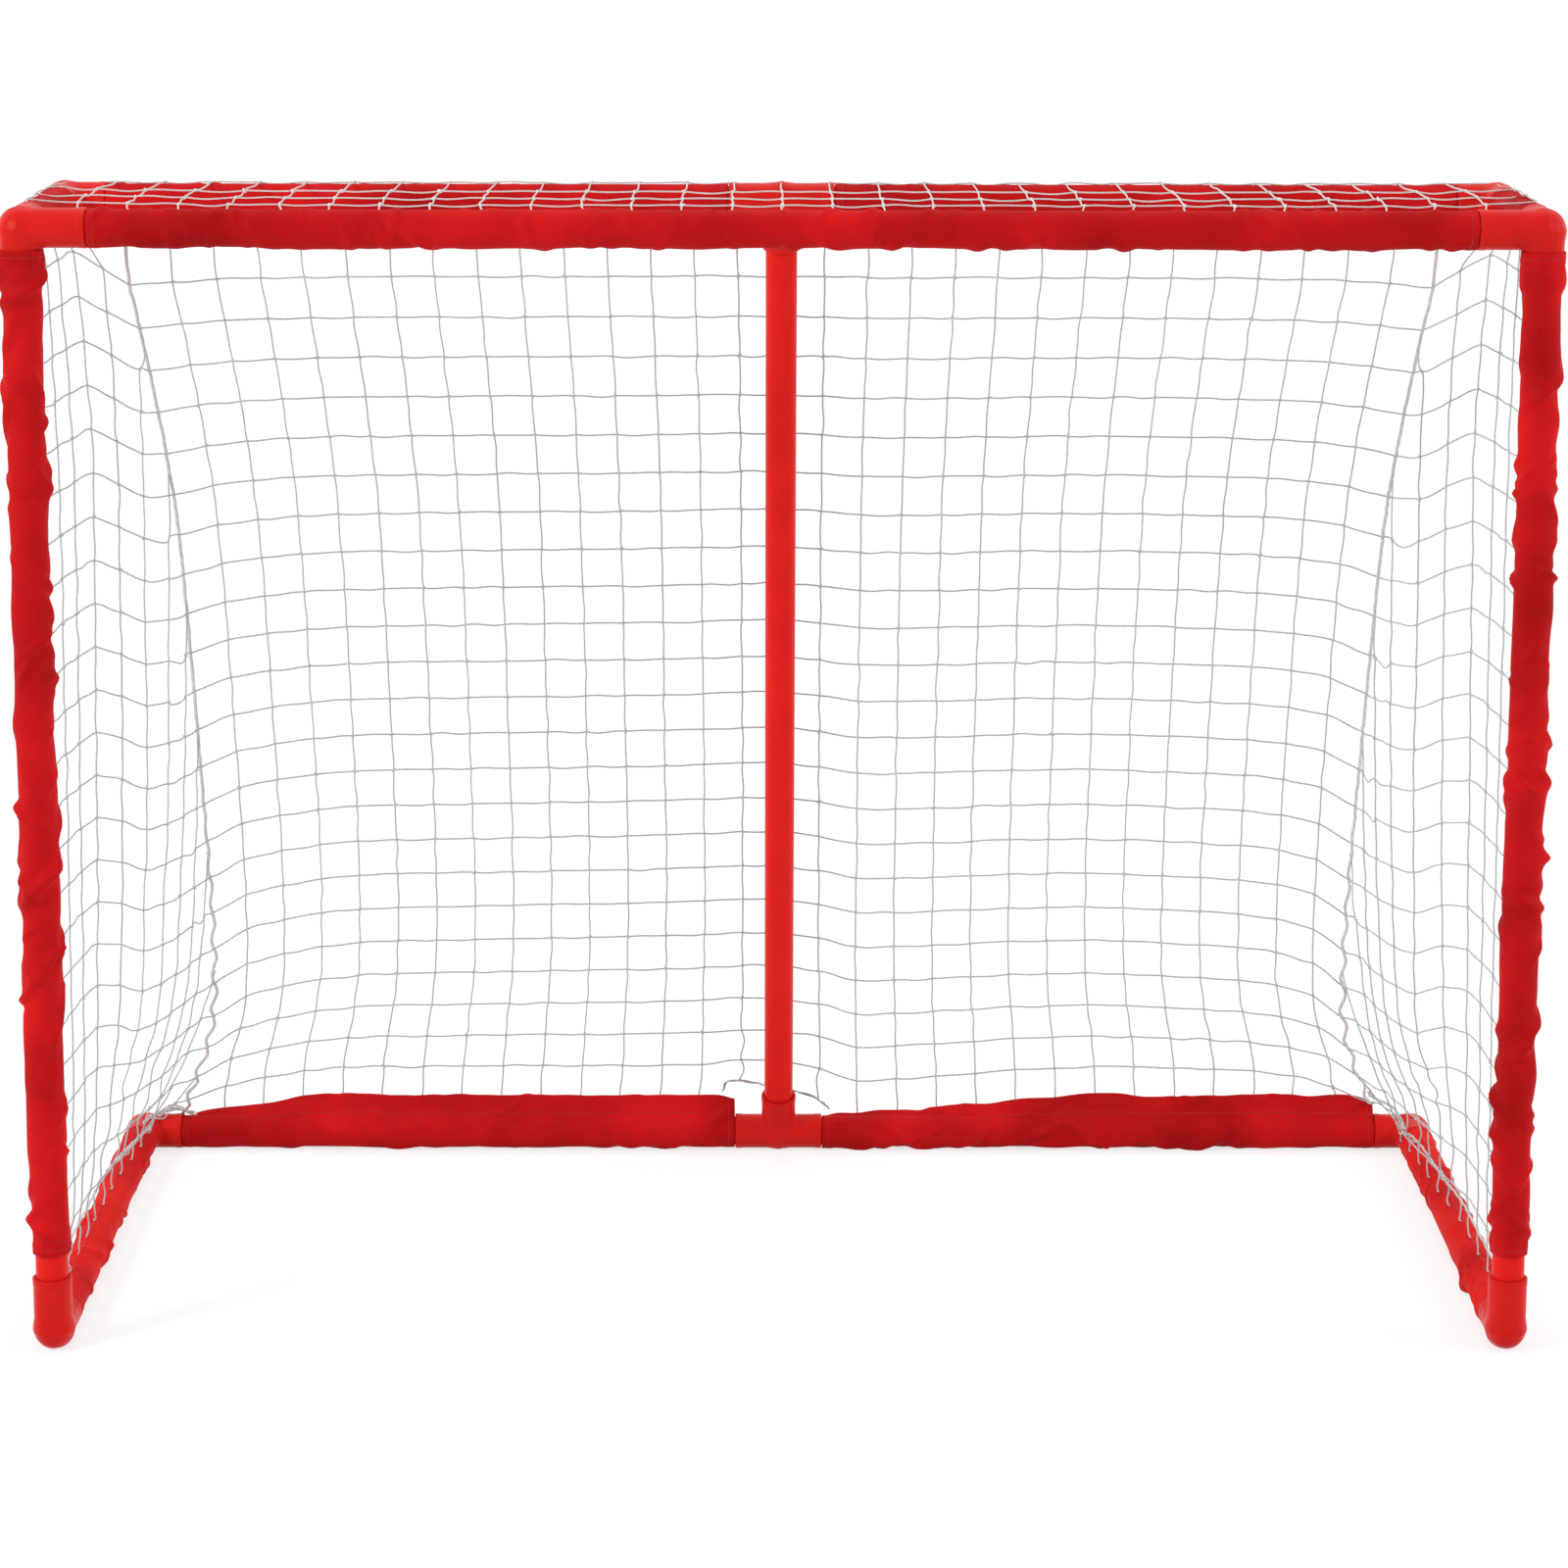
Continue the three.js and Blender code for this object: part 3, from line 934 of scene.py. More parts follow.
@dataclass(frozen=True)
class Arm:
    """One socket of a fitting: its direction and its length."""

    direction: tuple[float, float, float]
    length: float

    @property
    def line(self) -> Array:
        """The direction as an array of length one."""
        line = np.array(self.direction, float)
        return line / np.linalg.norm(line)


def capped(points: Array, line: Array, start: float, end: float, radius: float, edge: float) -> Array:
    """Signed distance to a cylinder whose rims are rounded.

    Args:
        points: Where it is measured.
        line: The cylinder's direction from the origin.
        start: Where it begins along the line.
        end: Where it ends.
        radius: Its radius.
        edge: The radius of its rims.

    Returns:
        The distances, negative inside.
    """
    t = points @ line
    side = np.linalg.norm(points - t[:, None] * line, axis=1) - (radius - edge)
    ends = np.abs(t - (start + end) / 2) - ((end - start) / 2 - edge)
    outside = np.hypot(np.maximum(side, 0), np.maximum(ends, 0))
    return outside + np.minimum(np.maximum(side, ends), 0) - edge


def blend_low(a: Array, b: Array, width: float) -> Array:
    """The lower of two distances, with a fillet of about the given width."""
    share = np.clip(0.5 + 0.5 * (b - a) / width, 0, 1)
    return b + (a - b) * share - width * share * (1 - share)


@dataclass
class Fitting:
    """A moulded elbow, corner or tee: filleted sockets with collars, bored to their stops."""

    name: str
    corner: Array
    arms: tuple[Arm, ...]
    grid: float = 0.0012
    fillet: float = 0.005
    collar_fillet: float = 0.0003
    mouth_round: float = 0.0009
    rim: float = 0.0007
    ball: float = 0.0179
    overrun: float = 0.02
    margin: float = 0.004
    probe: float = 0.00005
    least_slope: float = 0.3
    rounds: int = 4
    ring: tuple[tuple[int, int], ...] = ((0, 0), (1, 0), (1, 1), (0, 1))

    def distance(self, points: Array) -> Array:
        """Signed distance to the moulding, from its corner.

        Args:
            points: Where it is measured.

        Returns:
            The distances, negative inside.
        """
        lay = LAYOUT
        body = np.linalg.norm(points, axis=1) - self.ball
        for arm in self.arms:
            socket = capped(points, arm.line, 0.0, arm.length, lay.fitting_radius, self.rim)
            body = blend_low(body, socket, self.fillet)
        for arm in self.arms:
            start = arm.length - lay.collar_length
            ring = capped(points, arm.line, start, arm.length, lay.collar_radius, self.rim)
            body = blend_low(body, ring, self.collar_fillet)
        for arm in self.arms:
            mouth = arm.length + self.overrun
            bore = capped(points, arm.line, lay.stop, mouth, lay.bore_radius, self.rim)
            body = -blend_low(-body, bore, self.mouth_round)
        return body

    def sampled(self) -> tuple[Array, Array]:
        """The distance over a grid that holds the whole moulding.

        Returns:
            The grid's lowest corner, and the distance at each of its points.
        """
        reach = np.array([arm.line * (arm.length + self.margin / 2) for arm in self.arms] + [np.zeros(3)])
        margin = LAYOUT.collar_radius + self.margin
        low, high = reach.min(0) - margin, reach.max(0) + margin
        counts = np.ceil((high - low) / self.grid).astype(int)
        axes = [low[i] + self.grid * np.arange(counts[i] + 1) for i in range(3)]
        places = np.stack(np.meshgrid(*axes, indexing="ij"), -1).reshape(-1, 3)
        return low, self.distance(places).reshape(counts + 1)

    def surface(self) -> tuple[Array, Array]:
        """Nets the zero surface of the distance and pulls it onto the surface.

        Every cell of the grid with a crossed edge gets a vertex in the middle of its crossings, and
        every crossed edge gets a quad between the four cells round it.

        Returns:
            The vertices from the corner, and the quads.
        """
        low, depth = self.sampled()
        inside = depth < 0
        cells = np.array(depth.shape) - 1
        total, hits = np.zeros((*cells, 3)), np.zeros(cells)
        rings = []
        for axis, step in enumerate(np.eye(3, dtype=int)):
            start = tuple(slice(0, n - s) for n, s in zip(inside.shape, step))
            end = tuple(slice(s, n) for n, s in zip(inside.shape, step))
            spots = np.argwhere(inside[start] != inside[end])
            near, far = depth[tuple(spots.T)], depth[tuple((spots + step).T)]
            places = spots + step * (near / (near - far))[:, None]
            ring = np.stack([spots] * len(self.ring))
            ring[..., [k for k in range(3) if k != axis]] -= np.array(self.ring)[:, None]
            for cell in ring:
                np.add.at(total, tuple(cell.T), places - cell)
                np.add.at(hits, tuple(cell.T), 1)
            outward = inside[tuple(spots.T)] != (axis == 1)
            rings.append(np.where(outward[:, None], ring, ring[::-1]))
        used = hits > 0
        number = np.cumsum(used).reshape(cells) - 1
        points = low + self.grid * (np.argwhere(used) + total[used] / hits[used][:, None])
        quads = number[tuple(np.moveaxis(np.concatenate(rings, 1), -1, 0))].T
        return self.settled(points), quads

    def settled(self, points: Array) -> Array:
        """Moves points onto the zero surface along its slope.

        Args:
            points: Points near the surface.

        Returns:
            The points on it.
        """
        for _ in range(self.rounds):
            value = self.distance(points)
            ahead = [self.distance(points + step) for step in np.eye(3) * self.probe]
            slope = (np.stack(ahead, 1) - value[:, None]) / self.probe
            size = np.maximum(np.linalg.norm(slope, axis=1), self.least_slope)
            move = np.clip(value / size, -self.grid / 2, self.grid / 2)
            points = points - slope * (move / size)[:, None]
        return points

    def build(self, finish: Finish) -> None:
        """Makes the fitting in place of its CAD node.

        Args:
            finish: What it is made of.
        """
        points, faces = self.surface()
        points = above_floor(points + self.corner)
        piece = mesh_object(f"{self.name}_moulded", points, facing_out(points, faces))
        finish.dress(piece)
        seat(piece, self.name)


def fittings() -> list[Fitting]:
    """All ten fittings of the goal, with the sockets that each has.

    Returns:
        The fittings.
    """
    lay = LAYOUT
    made = []
    front, rear, down, up = (0, -1, 0), (0, 1, 0), (0, 0, -1), (0, 0, 1)
    foot = (Arm(up, lay.foot_post), Arm(rear, lay.foot_side))
    for side in Side:
        inwards = (-side, 0, 0)
        sockets = (Arm(inwards, lay.corner_crossbar), Arm(down, lay.corner_post))
        corner = (*sockets, Arm(rear, lay.corner_side))
        elbow = (Arm(inwards, lay.rear_elbow), Arm(front, lay.rear_elbow))
        top_front, top_rear, base_front, base_rear = lay.corners(side)
        made += [
            Fitting(f"top_corner_fitting_{side.label}", top_front, corner),
            Fitting(f"foot_elbow_{side.label}", base_front, foot),
            Fitting(f"rear_top_elbow_{side.label}", top_rear, elbow),
            Fitting(f"rear_base_elbow_{side.label}", base_rear, elbow),
        ]
    for name, centre, run, slope in (
        ("rear_top_tee", lay.top_centre, lay.top_tee_run, -lay.slope_up),
        ("rear_base_tee", lay.base_centre, lay.base_tee_run, lay.slope_up),
    ):
        arms = (Arm((1, 0, 0), run), Arm((-1, 0, 0), run), Arm(tuple(slope), lay.tee_branch))
        made.append(Fitting(name, centre, arms))
    return made


# Tubes


@dataclass
class Tube:
    """A plastic tube with a chamfer at both ends, plugged into the two fittings it joins."""

    name: str
    start: Array
    end: Array
    sides: int = 56
    rings: int = 24
    upright: float = 0.9
    chamfer: float = 0.0006

    def build(self, finish: Finish) -> None:
        """Makes the tube in place of its CAD node.

        Args:
            finish: What it is made of.
        """
        lay = LAYOUT
        reach = float(np.linalg.norm(self.end - self.start))
        line = (self.end - self.start) / reach
        low = lay.stop + lay.fit
        high = reach - low
        inner = lay.tube_radius - lay.tube_wall
        walk = np.linspace(low + self.chamfer, high - self.chamfer, self.rings)
        profile = [(inner, low), (lay.tube_radius - self.chamfer, low)]
        profile += [(lay.tube_radius, t) for t in walk]
        profile += [(lay.tube_radius - self.chamfer, high), (inner, high)]
        profile += [(inner, t) for t in walk[::-1]]
        first, second = across(line, Z_AXIS if abs(line[2]) < self.upright else Y_AXIS)
        turns = np.arange(self.sides) * TAU / self.sides
        rim = np.cos(turns)[:, None] * first + np.sin(turns)[:, None] * second
        points = np.concatenate([self.start + line * t + rim * r for r, t in profile])
        faces = facing_out(points - points.mean(0), wrapped_faces(len(profile), self.sides))
        piece = mesh_object(f"{self.name}_pipe", points, faces)
        finish.dress(piece)
        seat(piece, self.name)


def tubes() -> list[Tube]:
    """All the tubes, each between the corners of its two fittings.

    Returns:
        The tubes.
    """
    lay = LAYOUT
    made = []
    for side in Side:
        top_front, top_rear, base_front, base_rear = lay.corners(side)
        made += [
            Tube(f"post_tube_{side.label}", base_front, top_front),
            Tube(f"top_side_tube_{side.label}", top_front, top_rear),
            Tube(f"base_side_tube_{side.label}", base_front, base_rear),
            Tube(f"rear_top_tube_{side.label}", lay.top_centre, top_rear),
            Tube(f"rear_base_tube_{side.label}", lay.base_centre, base_rear),
        ]
    left, right = (lay.corners(side)[0] for side in Side)
    strut = Tube("centre_strut", lay.base_centre, lay.top_centre)
    return made + [Tube("crossbar_tube", left, right), strut]


# Sleeves


def smooth_noise(rng: np.random.Generator, places: Array, step: float) -> Array:
    """A smooth random line from −1 to 1.

    Args:
        rng: The source of chance.
        places: Where it is read.
        step: How far apart its values are drawn.

    Returns:
        Its height at each place.
    """
    count = int((places.max() - places.min()) / step) + 4
    values = rng.uniform(-1, 1, count)
    t = (places - places.min()) / step
    i = t.astype(int)
    share = eased(t - i)
    return values[i] * (1 - share) + values[i + 1] * share


@dataclass(frozen=True)
class Creases:
    """How a sleeve creases: how many folds there are, and their slant, length, width and height."""

    per_metre: float = 80.0
    slant: tuple[float, float] = (0.7, 1.5)
    length: tuple[float, float] = (0.016, 0.055)
    width: tuple[float, float] = (0.0024, 0.0062)
    height: tuple[float, float] = (0.0005, 0.0020)
    lean: float = 0.0
    curve: float = 0.12
    dip: float = 0.35
    dip_place: float = 1.9

    def field(self, rng: np.random.Generator, along: Array, around: Array, girth: float) -> Array:
        """The height of all the folds over a grid.

        Args:
            rng: The source of chance.
            along: The length along the sleeve at each row.
            around: The length round it at each column.
            girth: The whole length round it.

        Returns:
            The heights, one row for each row of the grid.
        """
        total = np.zeros((len(along), len(around)))
        for _ in range(int(self.per_metre * (along.max() - along.min()))):
            middle = rng.uniform(along.min(), along.max())
            side = rng.uniform(0, girth)
            slant = rng.uniform(*self.slant) * (1 if rng.random() < 0.5 + self.lean else -1)
            half = rng.uniform(*self.length) / 2
            width = rng.uniform(*self.width)
            height = rng.uniform(*self.height)
            rows = np.flatnonzero(np.abs(along - middle) < half + 3 * width)
            a = (along[rows] - middle)[:, None]
            b = (around - side + girth / 2) % girth - girth / 2
            length = a * math.cos(slant) + b * math.sin(slant)
            off = b * math.cos(slant) - a * math.sin(slant)
            off = off + self.curve * length * np.abs(length) / half
            ridge = bell(off, width) - self.dip * bell(off / width - self.dip_place, 1)
            total[rows] += height * bell(np.abs(length), half, 3) * ridge
        return total


@dataclass(frozen=True)
class Drape:
    """How a sleeve hangs: its creases, its spare cloth, its sway and turn, and how it widens."""

    creases: Creases = Creases()
    slack: float = 0.0024
    sway: float = 0.0014
    wander: float = 0.5
    flare: float = 0.0


@dataclass
class Sleeve:
    """A loose fabric sleeve on a straight tube, creased, hemmed at its ends and sewn lengthways."""

    name: str
    start: Array
    end: Array
    sag: Array
    seam_turn: float
    seed: int
    drape: Drape = Drape()
    columns: int = 60
    row: float = 0.0030
    thickness: float = 0.0009
    clear: float = 0.0002
    hem: float = 0.010
    hem_rise: float = 0.0006
    hem_edge: float = 0.0005
    hem_far: float = 700.0
    stitch_inset: float = 0.7
    seam_allowance: float = 0.008
    seam_rise: float = 0.0007
    seam_half: float = 0.0022
    drift_step: float = 0.11
    slack_step: float = 0.034
    slack_least: float = 0.55
    sway_step: float = 0.028
    pleats: int = 9
    pleat_rise: float = 0.00045
    pleat_reach: float = 0.02
    end_hold: float = 0.55
    end_reach: float = 0.012
    flare_reach: float = 0.008
    roll_share: float = 0.35
    section: tuple[Array, Array, Array] = field(init=False)
    walls: Array = field(init=False)
    made: tuple[Array, Array, Array] = field(init=False)

    def __post_init__(self) -> None:
        """Works out the section once."""
        self.section = self.outline()

    @property
    def length(self) -> float:
        """The sleeve's length."""
        return float(np.linalg.norm(self.end - self.start))

    @property
    def line(self) -> Array:
        """The sleeve's direction."""
        return (self.end - self.start) / self.length

    @property
    def base(self) -> float:
        """The radius of the bare cloth round the tube."""
        return LAYOUT.sleeve_inner + self.thickness + self.clear

    def section_axes(self) -> tuple[Array, Array]:
        """The directions of the section: towards the sag, and square to it."""
        return across(self.line, self.sag)

    def outline(self) -> tuple[Array, Array, Array]:
        """The bare outline of the section, in pairs: towards the sag, and square to it.

        Returns:
            Its outer points, their outward directions and its inner points.
        """
        turns = np.arange(self.columns) * TAU / self.columns
        out = np.stack([np.cos(turns), np.sin(turns)], 1)
        return out * self.base, out, out * (self.base - self.thickness)

    def steps(self) -> Array:
        """The lengths between the points round the section."""
        outer = self.section[0]
        return np.linalg.norm(np.roll(outer, -1, 0) - outer, axis=1)

    def around(self) -> Array:
        """The length round the section at each of its points."""
        return np.concatenate([[0], np.cumsum(self.steps())[:-1]])

    def girth(self) -> float:
        """The whole length round the section."""
        return float(self.steps().sum())

    def lift(self, rng: np.random.Generator, along: Array) -> Array:
        """How far the fabric stands off its bare outline.

        Args:
            rng: The source of chance.
            along: The length along the sleeve at each row.

        Returns:
            The distances, one row for each row of the grid.
        """
        out = self.section[1]
        around, girth = self.around(), self.girth()
        drift = self.drape.wander * smooth_noise(rng, along, self.drift_step)
        hang = 0.5 + 0.5 * (np.outer(np.cos(drift), out[:, 0]) + np.outer(np.sin(drift), out[:, 1]))
        spare = self.slack_least + (1 - self.slack_least) * smooth_noise(rng, along, self.slack_step)
        sway = self.drape.sway * smooth_noise(rng, along, self.sway_step)
        total = (self.drape.slack * spare)[:, None] * np.maximum(hang, 0) ** 1.5
        total += np.maximum(0, sway[:, None] * out[:, 1])
        total += self.drape.creases.field(rng, along, around, girth)
        near = np.minimum(along, self.length - along)
        wave = np.sin(around / girth * TAU * self.pleats + rng.uniform(0, TAU))
        total += (self.pleat_rise * bell(near, self.pleat_reach))[:, None] * (1 + wave)
        total *= (1 - self.end_hold * bell(near, self.end_reach))[:, None]
        beyond = np.minimum((near - self.hem) / self.hem_edge, self.hem_far)
        total += (self.hem_rise / (1 + np.exp(beyond)))[:, None]
        total += self.seam_rise * bell(self.seam_distance(), self.seam_half, 4)[None, :]
        return total + self.flaring(along)[:, None]

    def seam_distance(self) -> Array:
        """The distance round the section from the long seam."""
        girth = self.girth()
        return np.abs((self.around() - self.seam_turn / TAU * girth + girth / 2) % girth - girth / 2)

    def flaring(self, along: Array) -> Array:
        """How much the sleeve widens towards its end, over a socket.

        Args:
            along: The length along the sleeve at each row.

        Returns:
            The widening of each row.
        """
        socket = LAYOUT.corner_post - LAYOUT.collar_radius
        share = (along - (self.length - socket - self.flare_reach)) / self.flare_reach
        return self.drape.flare * eased(np.clip(share, 0, 1))

    def ring(self, place: float, section: Array) -> Array:
        """The points of a section at a place along the sleeve."""
        first, second = self.section_axes()
        return self.start + self.line * place + section[:, :1] * first + section[:, 1:] * second

    def kept_off(self, section: Array) -> Array:
        """A section with every point outside the tube."""
        least = LAYOUT.sleeve_inner + self.thickness
        return section * np.maximum(1, least / np.linalg.norm(section, axis=1)[:, None])

    def shape(self) -> None:
        """Works out the sleeve's closed surface, which the net is then tied to."""
        rng = np.random.default_rng(self.seed)
        along = np.linspace(0, self.length, max(8, int(self.length / self.row)))
        outer, out, inner = self.section
        lift = self.lift(rng, along)
        back = self.inner_lift(lift)
        bend = self.bend(rng, along)
        walls = [
            self.ring(s, self.kept_off(outer + out * lift[i][:, None] + bend[i]))
            for i, s in enumerate(along)
        ]
        self.walls = above_floor(np.array(walls))
        backs = [self.ring(s, inner + out * back[i][:, None] + bend[i]) for i, s in enumerate(along)]
        roll = self.roll_share * self.thickness
        rims = []
        for i, s in ((-1, self.length + roll), (0, -roll)):
            lifted = (lift[i] + back[i]) / 2
            rims.append(self.ring(s, (outer + inner) / 2 + out * lifted[:, None] + bend[i]))
        loops = walls + [rims[0]] + backs[::-1] + [rims[1]]
        points = above_floor(np.concatenate(loops))
        cloth = np.zeros((len(loops), self.columns, 3))
        cloth[..., 0] = np.concatenate([along, [self.length], along[::-1], [0]])[:, None]
        cloth[..., 1] = self.around()[None, :]
        faces = wrapped_faces(len(loops), self.columns)
        self.made = points, facing_out(points - points.mean(0), faces), cloth.reshape(-1, 3)

    def inner_lift(self, lift: Array) -> Array:
        """How far the inner wall follows the outer one."""
        return lift

    def bend(self, rng: np.random.Generator, along: Array) -> Array:
        """A sideways shift of whole rows of the grid, none for a plain sleeve."""
        return np.zeros((len(along), 1, 2))

    def flat_width(self) -> float:
        """The width of the strip that the sleeve is cut from."""
        return self.girth() + self.seam_allowance

    def stitch_lines(self) -> list[Array]:
        """The lines on the made fabric that are stitched.

        Returns:
            The lines of both hems, and that of the long seam.
        """
        inset = max(1, round(self.stitch_inset * self.hem / self.row))
        closed = [np.concatenate([self.walls[i], self.walls[i][:1]]) for i in (inset, -1 - inset)]
        return closed + [self.walls[2:-2, int(np.argmin(self.seam_distance()))]]

    def build(self, finish: Finish) -> None:
        """Makes the sleeve in place of its CAD node.

        Args:
            finish: What it is made of.
        """
        piece = mesh_object(f"{self.name}_cloth", *self.made)
        finish.dress(piece)
        seat(piece, self.name)


@dataclass
class FlapSleeve(Sleeve):
    """A rear base sleeve: its two edges are sewn together into a flap that holds the net."""

    columns: int = 92
    flap_height: float = 0.0255
    flap_half: float = 0.0011
    flap_lean: float = 0.15
    flap_start: float = 0.0065
    flap_sink: float = 0.0012
    flap_points: int = 16
    flap_calm: float = 0.6
    foot_gap: float = 0.24
    foot_share: float = 0.10
    tip_share: float = 0.7
    tip_height: float = 0.8
    tip_rise: float = 0.0003
    front_sag: float = 0.0010
    front_spare: float = 0.4
    flat_spare: float = 0.004
    tie_depth: float = 0.0015
    curl: float = 0.004
    waves: tuple[tuple[float, float], ...] = ((0.0022, 0.05), (0.0009, 0.018))
    corner_drop: float = 0.003
    corner_reach: float = 0.010
    top_wave: tuple[float, float] = (0.0016, 0.035)
    low_ends: tuple[float, float] = (1.0, 0.15)
    low_reaches: tuple[float, float] = (0.05, 0.15)
    flap: Array = field(init=False)
    side: Array = field(init=False)
    rise: Array = field(init=False)

    def in_section(self, vector: Array) -> Array:
        """A vector's parts along the directions of the section."""
        return np.array([vector @ axis for axis in self.section_axes()])

    def outline(self) -> tuple[Array, Array, Array]:
        """The outline: round the tube, up the rear of the flap and down its front.

        Returns:
            Its outer points, their outward directions and its inner points.
        """
        lay, base = LAYOUT, self.base
        root = lay.slope_up * self.flap_start + lay.slope_out * (lay.sleeve_outer - self.flap_sink)
        root = self.in_section(root)
        tilt = math.atan2(-lay.slope_up[1], lay.slope_up[2]) - self.flap_lean
        rise = self.in_section(np.array([0, -math.sin(tilt), math.cos(tilt)]))
        side = np.array([-rise[1], rise[0]])
        side *= math.copysign(1, side[0])
        turn = math.atan2(root[1], root[0])
        sign = 1 if side @ np.array([-math.sin(turn), math.cos(turn)]) > 0 else -1
        top = root + rise * (self.flap_height + self.tip_height * self.flap_half)
        edge = top + side * self.flap_half * self.tip_share
        leave = math.atan2(edge[1], edge[0]) + sign * math.acos(base / float(np.linalg.norm(edge)))
        front_gap = sign * (leave - turn) % TAU
        count = self.columns - 2 * self.flap_points - 3
        turns = turn + sign * np.linspace(front_gap, TAU - self.foot_gap, count)
        circle = np.stack([np.cos(turns), np.sin(turns)], 1)
        heights = np.linspace(self.foot_share, 1, self.flap_points) * self.flap_height
        back = root + heights[:, None] * rise - side * self.flap_half
        share = (np.arange(1, self.flap_points + 1) / (self.flap_points + self.front_spare))[:, None]
        sheet = edge - circle[0] * base
        inward = np.array([sheet[1], -sheet[0]]) / np.linalg.norm(sheet)
        inward *= -np.sign(inward @ circle[0])
        front = circle[0] * base + sheet * share + inward * self.front_sag * np.sin(np.pi * share)
        tip = [top - side * self.flap_half * self.tip_share, top + rise * self.tip_rise, edge]
        outer = np.concatenate([circle * base, back, np.stack(tip), front[::-1]])
        tangent = np.roll(outer, -1, 0) - np.roll(outer, 1, 0)
        tangent /= np.linalg.norm(tangent, axis=1)[:, None]
        out = np.stack([tangent[:, 1], -tangent[:, 0]], 1) * sign
        close = np.linspace(TAU - self.foot_gap, TAU + front_gap, self.columns - count + 2)[1:-1]
        inner_turns = np.concatenate([turns, turn + sign * close])
        inner = np.stack([np.cos(inner_turns), np.sin(inner_turns)], 1) * (base - self.thickness)
        self.flap = np.zeros(self.columns)
        self.flap[count:] = np.clip((outer[count:] - root) @ rise / self.flap_height, 0, 1)
        self.side, self.rise = side, rise
        return outer, out, inner

    def lift(self, rng: np.random.Generator, along: Array) -> Array:
        """As a plain sleeve, but the flap itself creases less."""
        return super().lift(rng, along) * (1 - self.flap_calm * self.flap[None, :])

    def inner_lift(self, lift: Array) -> Array:
        """The inner wall follows round the tube and stays closed under the flap."""
        return np.where(self.flap > 0, 0, lift)

    def bend(self, rng: np.random.Generator, along: Array) -> Array:
        """The flap waves along its length, and its corners fold over.

        Args:
            rng: The source of chance.
            along: The length along the sleeve at each row.

        Returns:
            The shift of each point of the grid, in pairs.
        """
        wave = sum(size * smooth_noise(rng, along, step) for size, step in self.waves)
        near = np.minimum(along, self.length - along)
        wave = wave + self.curl * bell(near, self.end_reach)
        size, step = self.top_wave
        drop = size * smooth_noise(rng, along, step) - self.corner_drop * bell(near, self.corner_reach)
        for low, reach, away in zip(self.low_ends, self.low_reaches, (along, self.length - along)):
            drop = drop - self.flap_height * (1 - low) * (1 - eased(np.clip(away / reach, 0, 1)))
        share = self.flap[None, :, None]
        return wave[:, None, None] * share**1.5 * self.side + drop[:, None, None] * share * self.rise

    def stitch_lines(self) -> list[Array]:
        """Both hems, and the seam that closes the flap along its foot."""
        foot = int(np.argmax(self.flap > 0)) + self.flap_points + 4 + self.flap_points // 2
        return super().stitch_lines()[:2] + [self.walls[2:-2, foot]]

    def ridge(self, x: float) -> Array | None:
        """The top of the made flap, where the net is tied.

        Args:
            x: The place across the goal.

        Returns:
            The point, or nothing beyond the flap's ends.
        """
        top = self.walls[:, int(np.argmax(self.flap))]
        order = np.argsort(top[:, 0])
        if not top[order[0], 0] - self.flat_spare <= x <= top[order[-1], 0] + self.flat_spare:
            return None
        y, z = (np.interp(x, top[order, 0], top[order, k]) for k in (1, 2))
        return np.array([x, y, z - self.tie_depth])

    def flat_width(self) -> float:
        """The strip is wide enough for both sides of the flap."""
        return TAU * LAYOUT.sleeve_outer + 2 * self.flap_height + self.flat_spare


POST_DRAPE = Drape(
    Creases(slant=(0.5, 1.2), length=(0.02, 0.07), height=(0.0010, 0.0046)),
    slack=0.0036,
    sway=0.0036,
    wander=2.6,
    flare=0.0022,
)
BASE_SIDE_DRAPE = Drape(
    Creases(90, slant=(0.5, 1.0), length=(0.02, 0.06), height=(0.0010, 0.0030), lean=0.35),
    slack=0.0014,
)
REAR_BASE_DRAPE = Drape(
    Creases(95, slant=(0.1, 0.9), length=(0.02, 0.09), height=(0.0007, 0.0032)),
    slack=0.0018,
    sway=0.0012,
)
REAR_TOP_DRAPE = Drape(Creases(60, height=(0.0003, 0.0011)), slack=0.0012, sway=0.0004)
CROSSBAR_DRAPE = Drape(Creases(95, height=(0.0005, 0.0026)), sway=0.0006)
FLAP_ENDS = {Side.LEFT: ((1.0, 0.15), (0.05, 0.15)), Side.RIGHT: ((0.15, 0.9), (0.32, 0.05))}
"""How high each flap still stands at its inner and outer end, and how far in that reaches."""


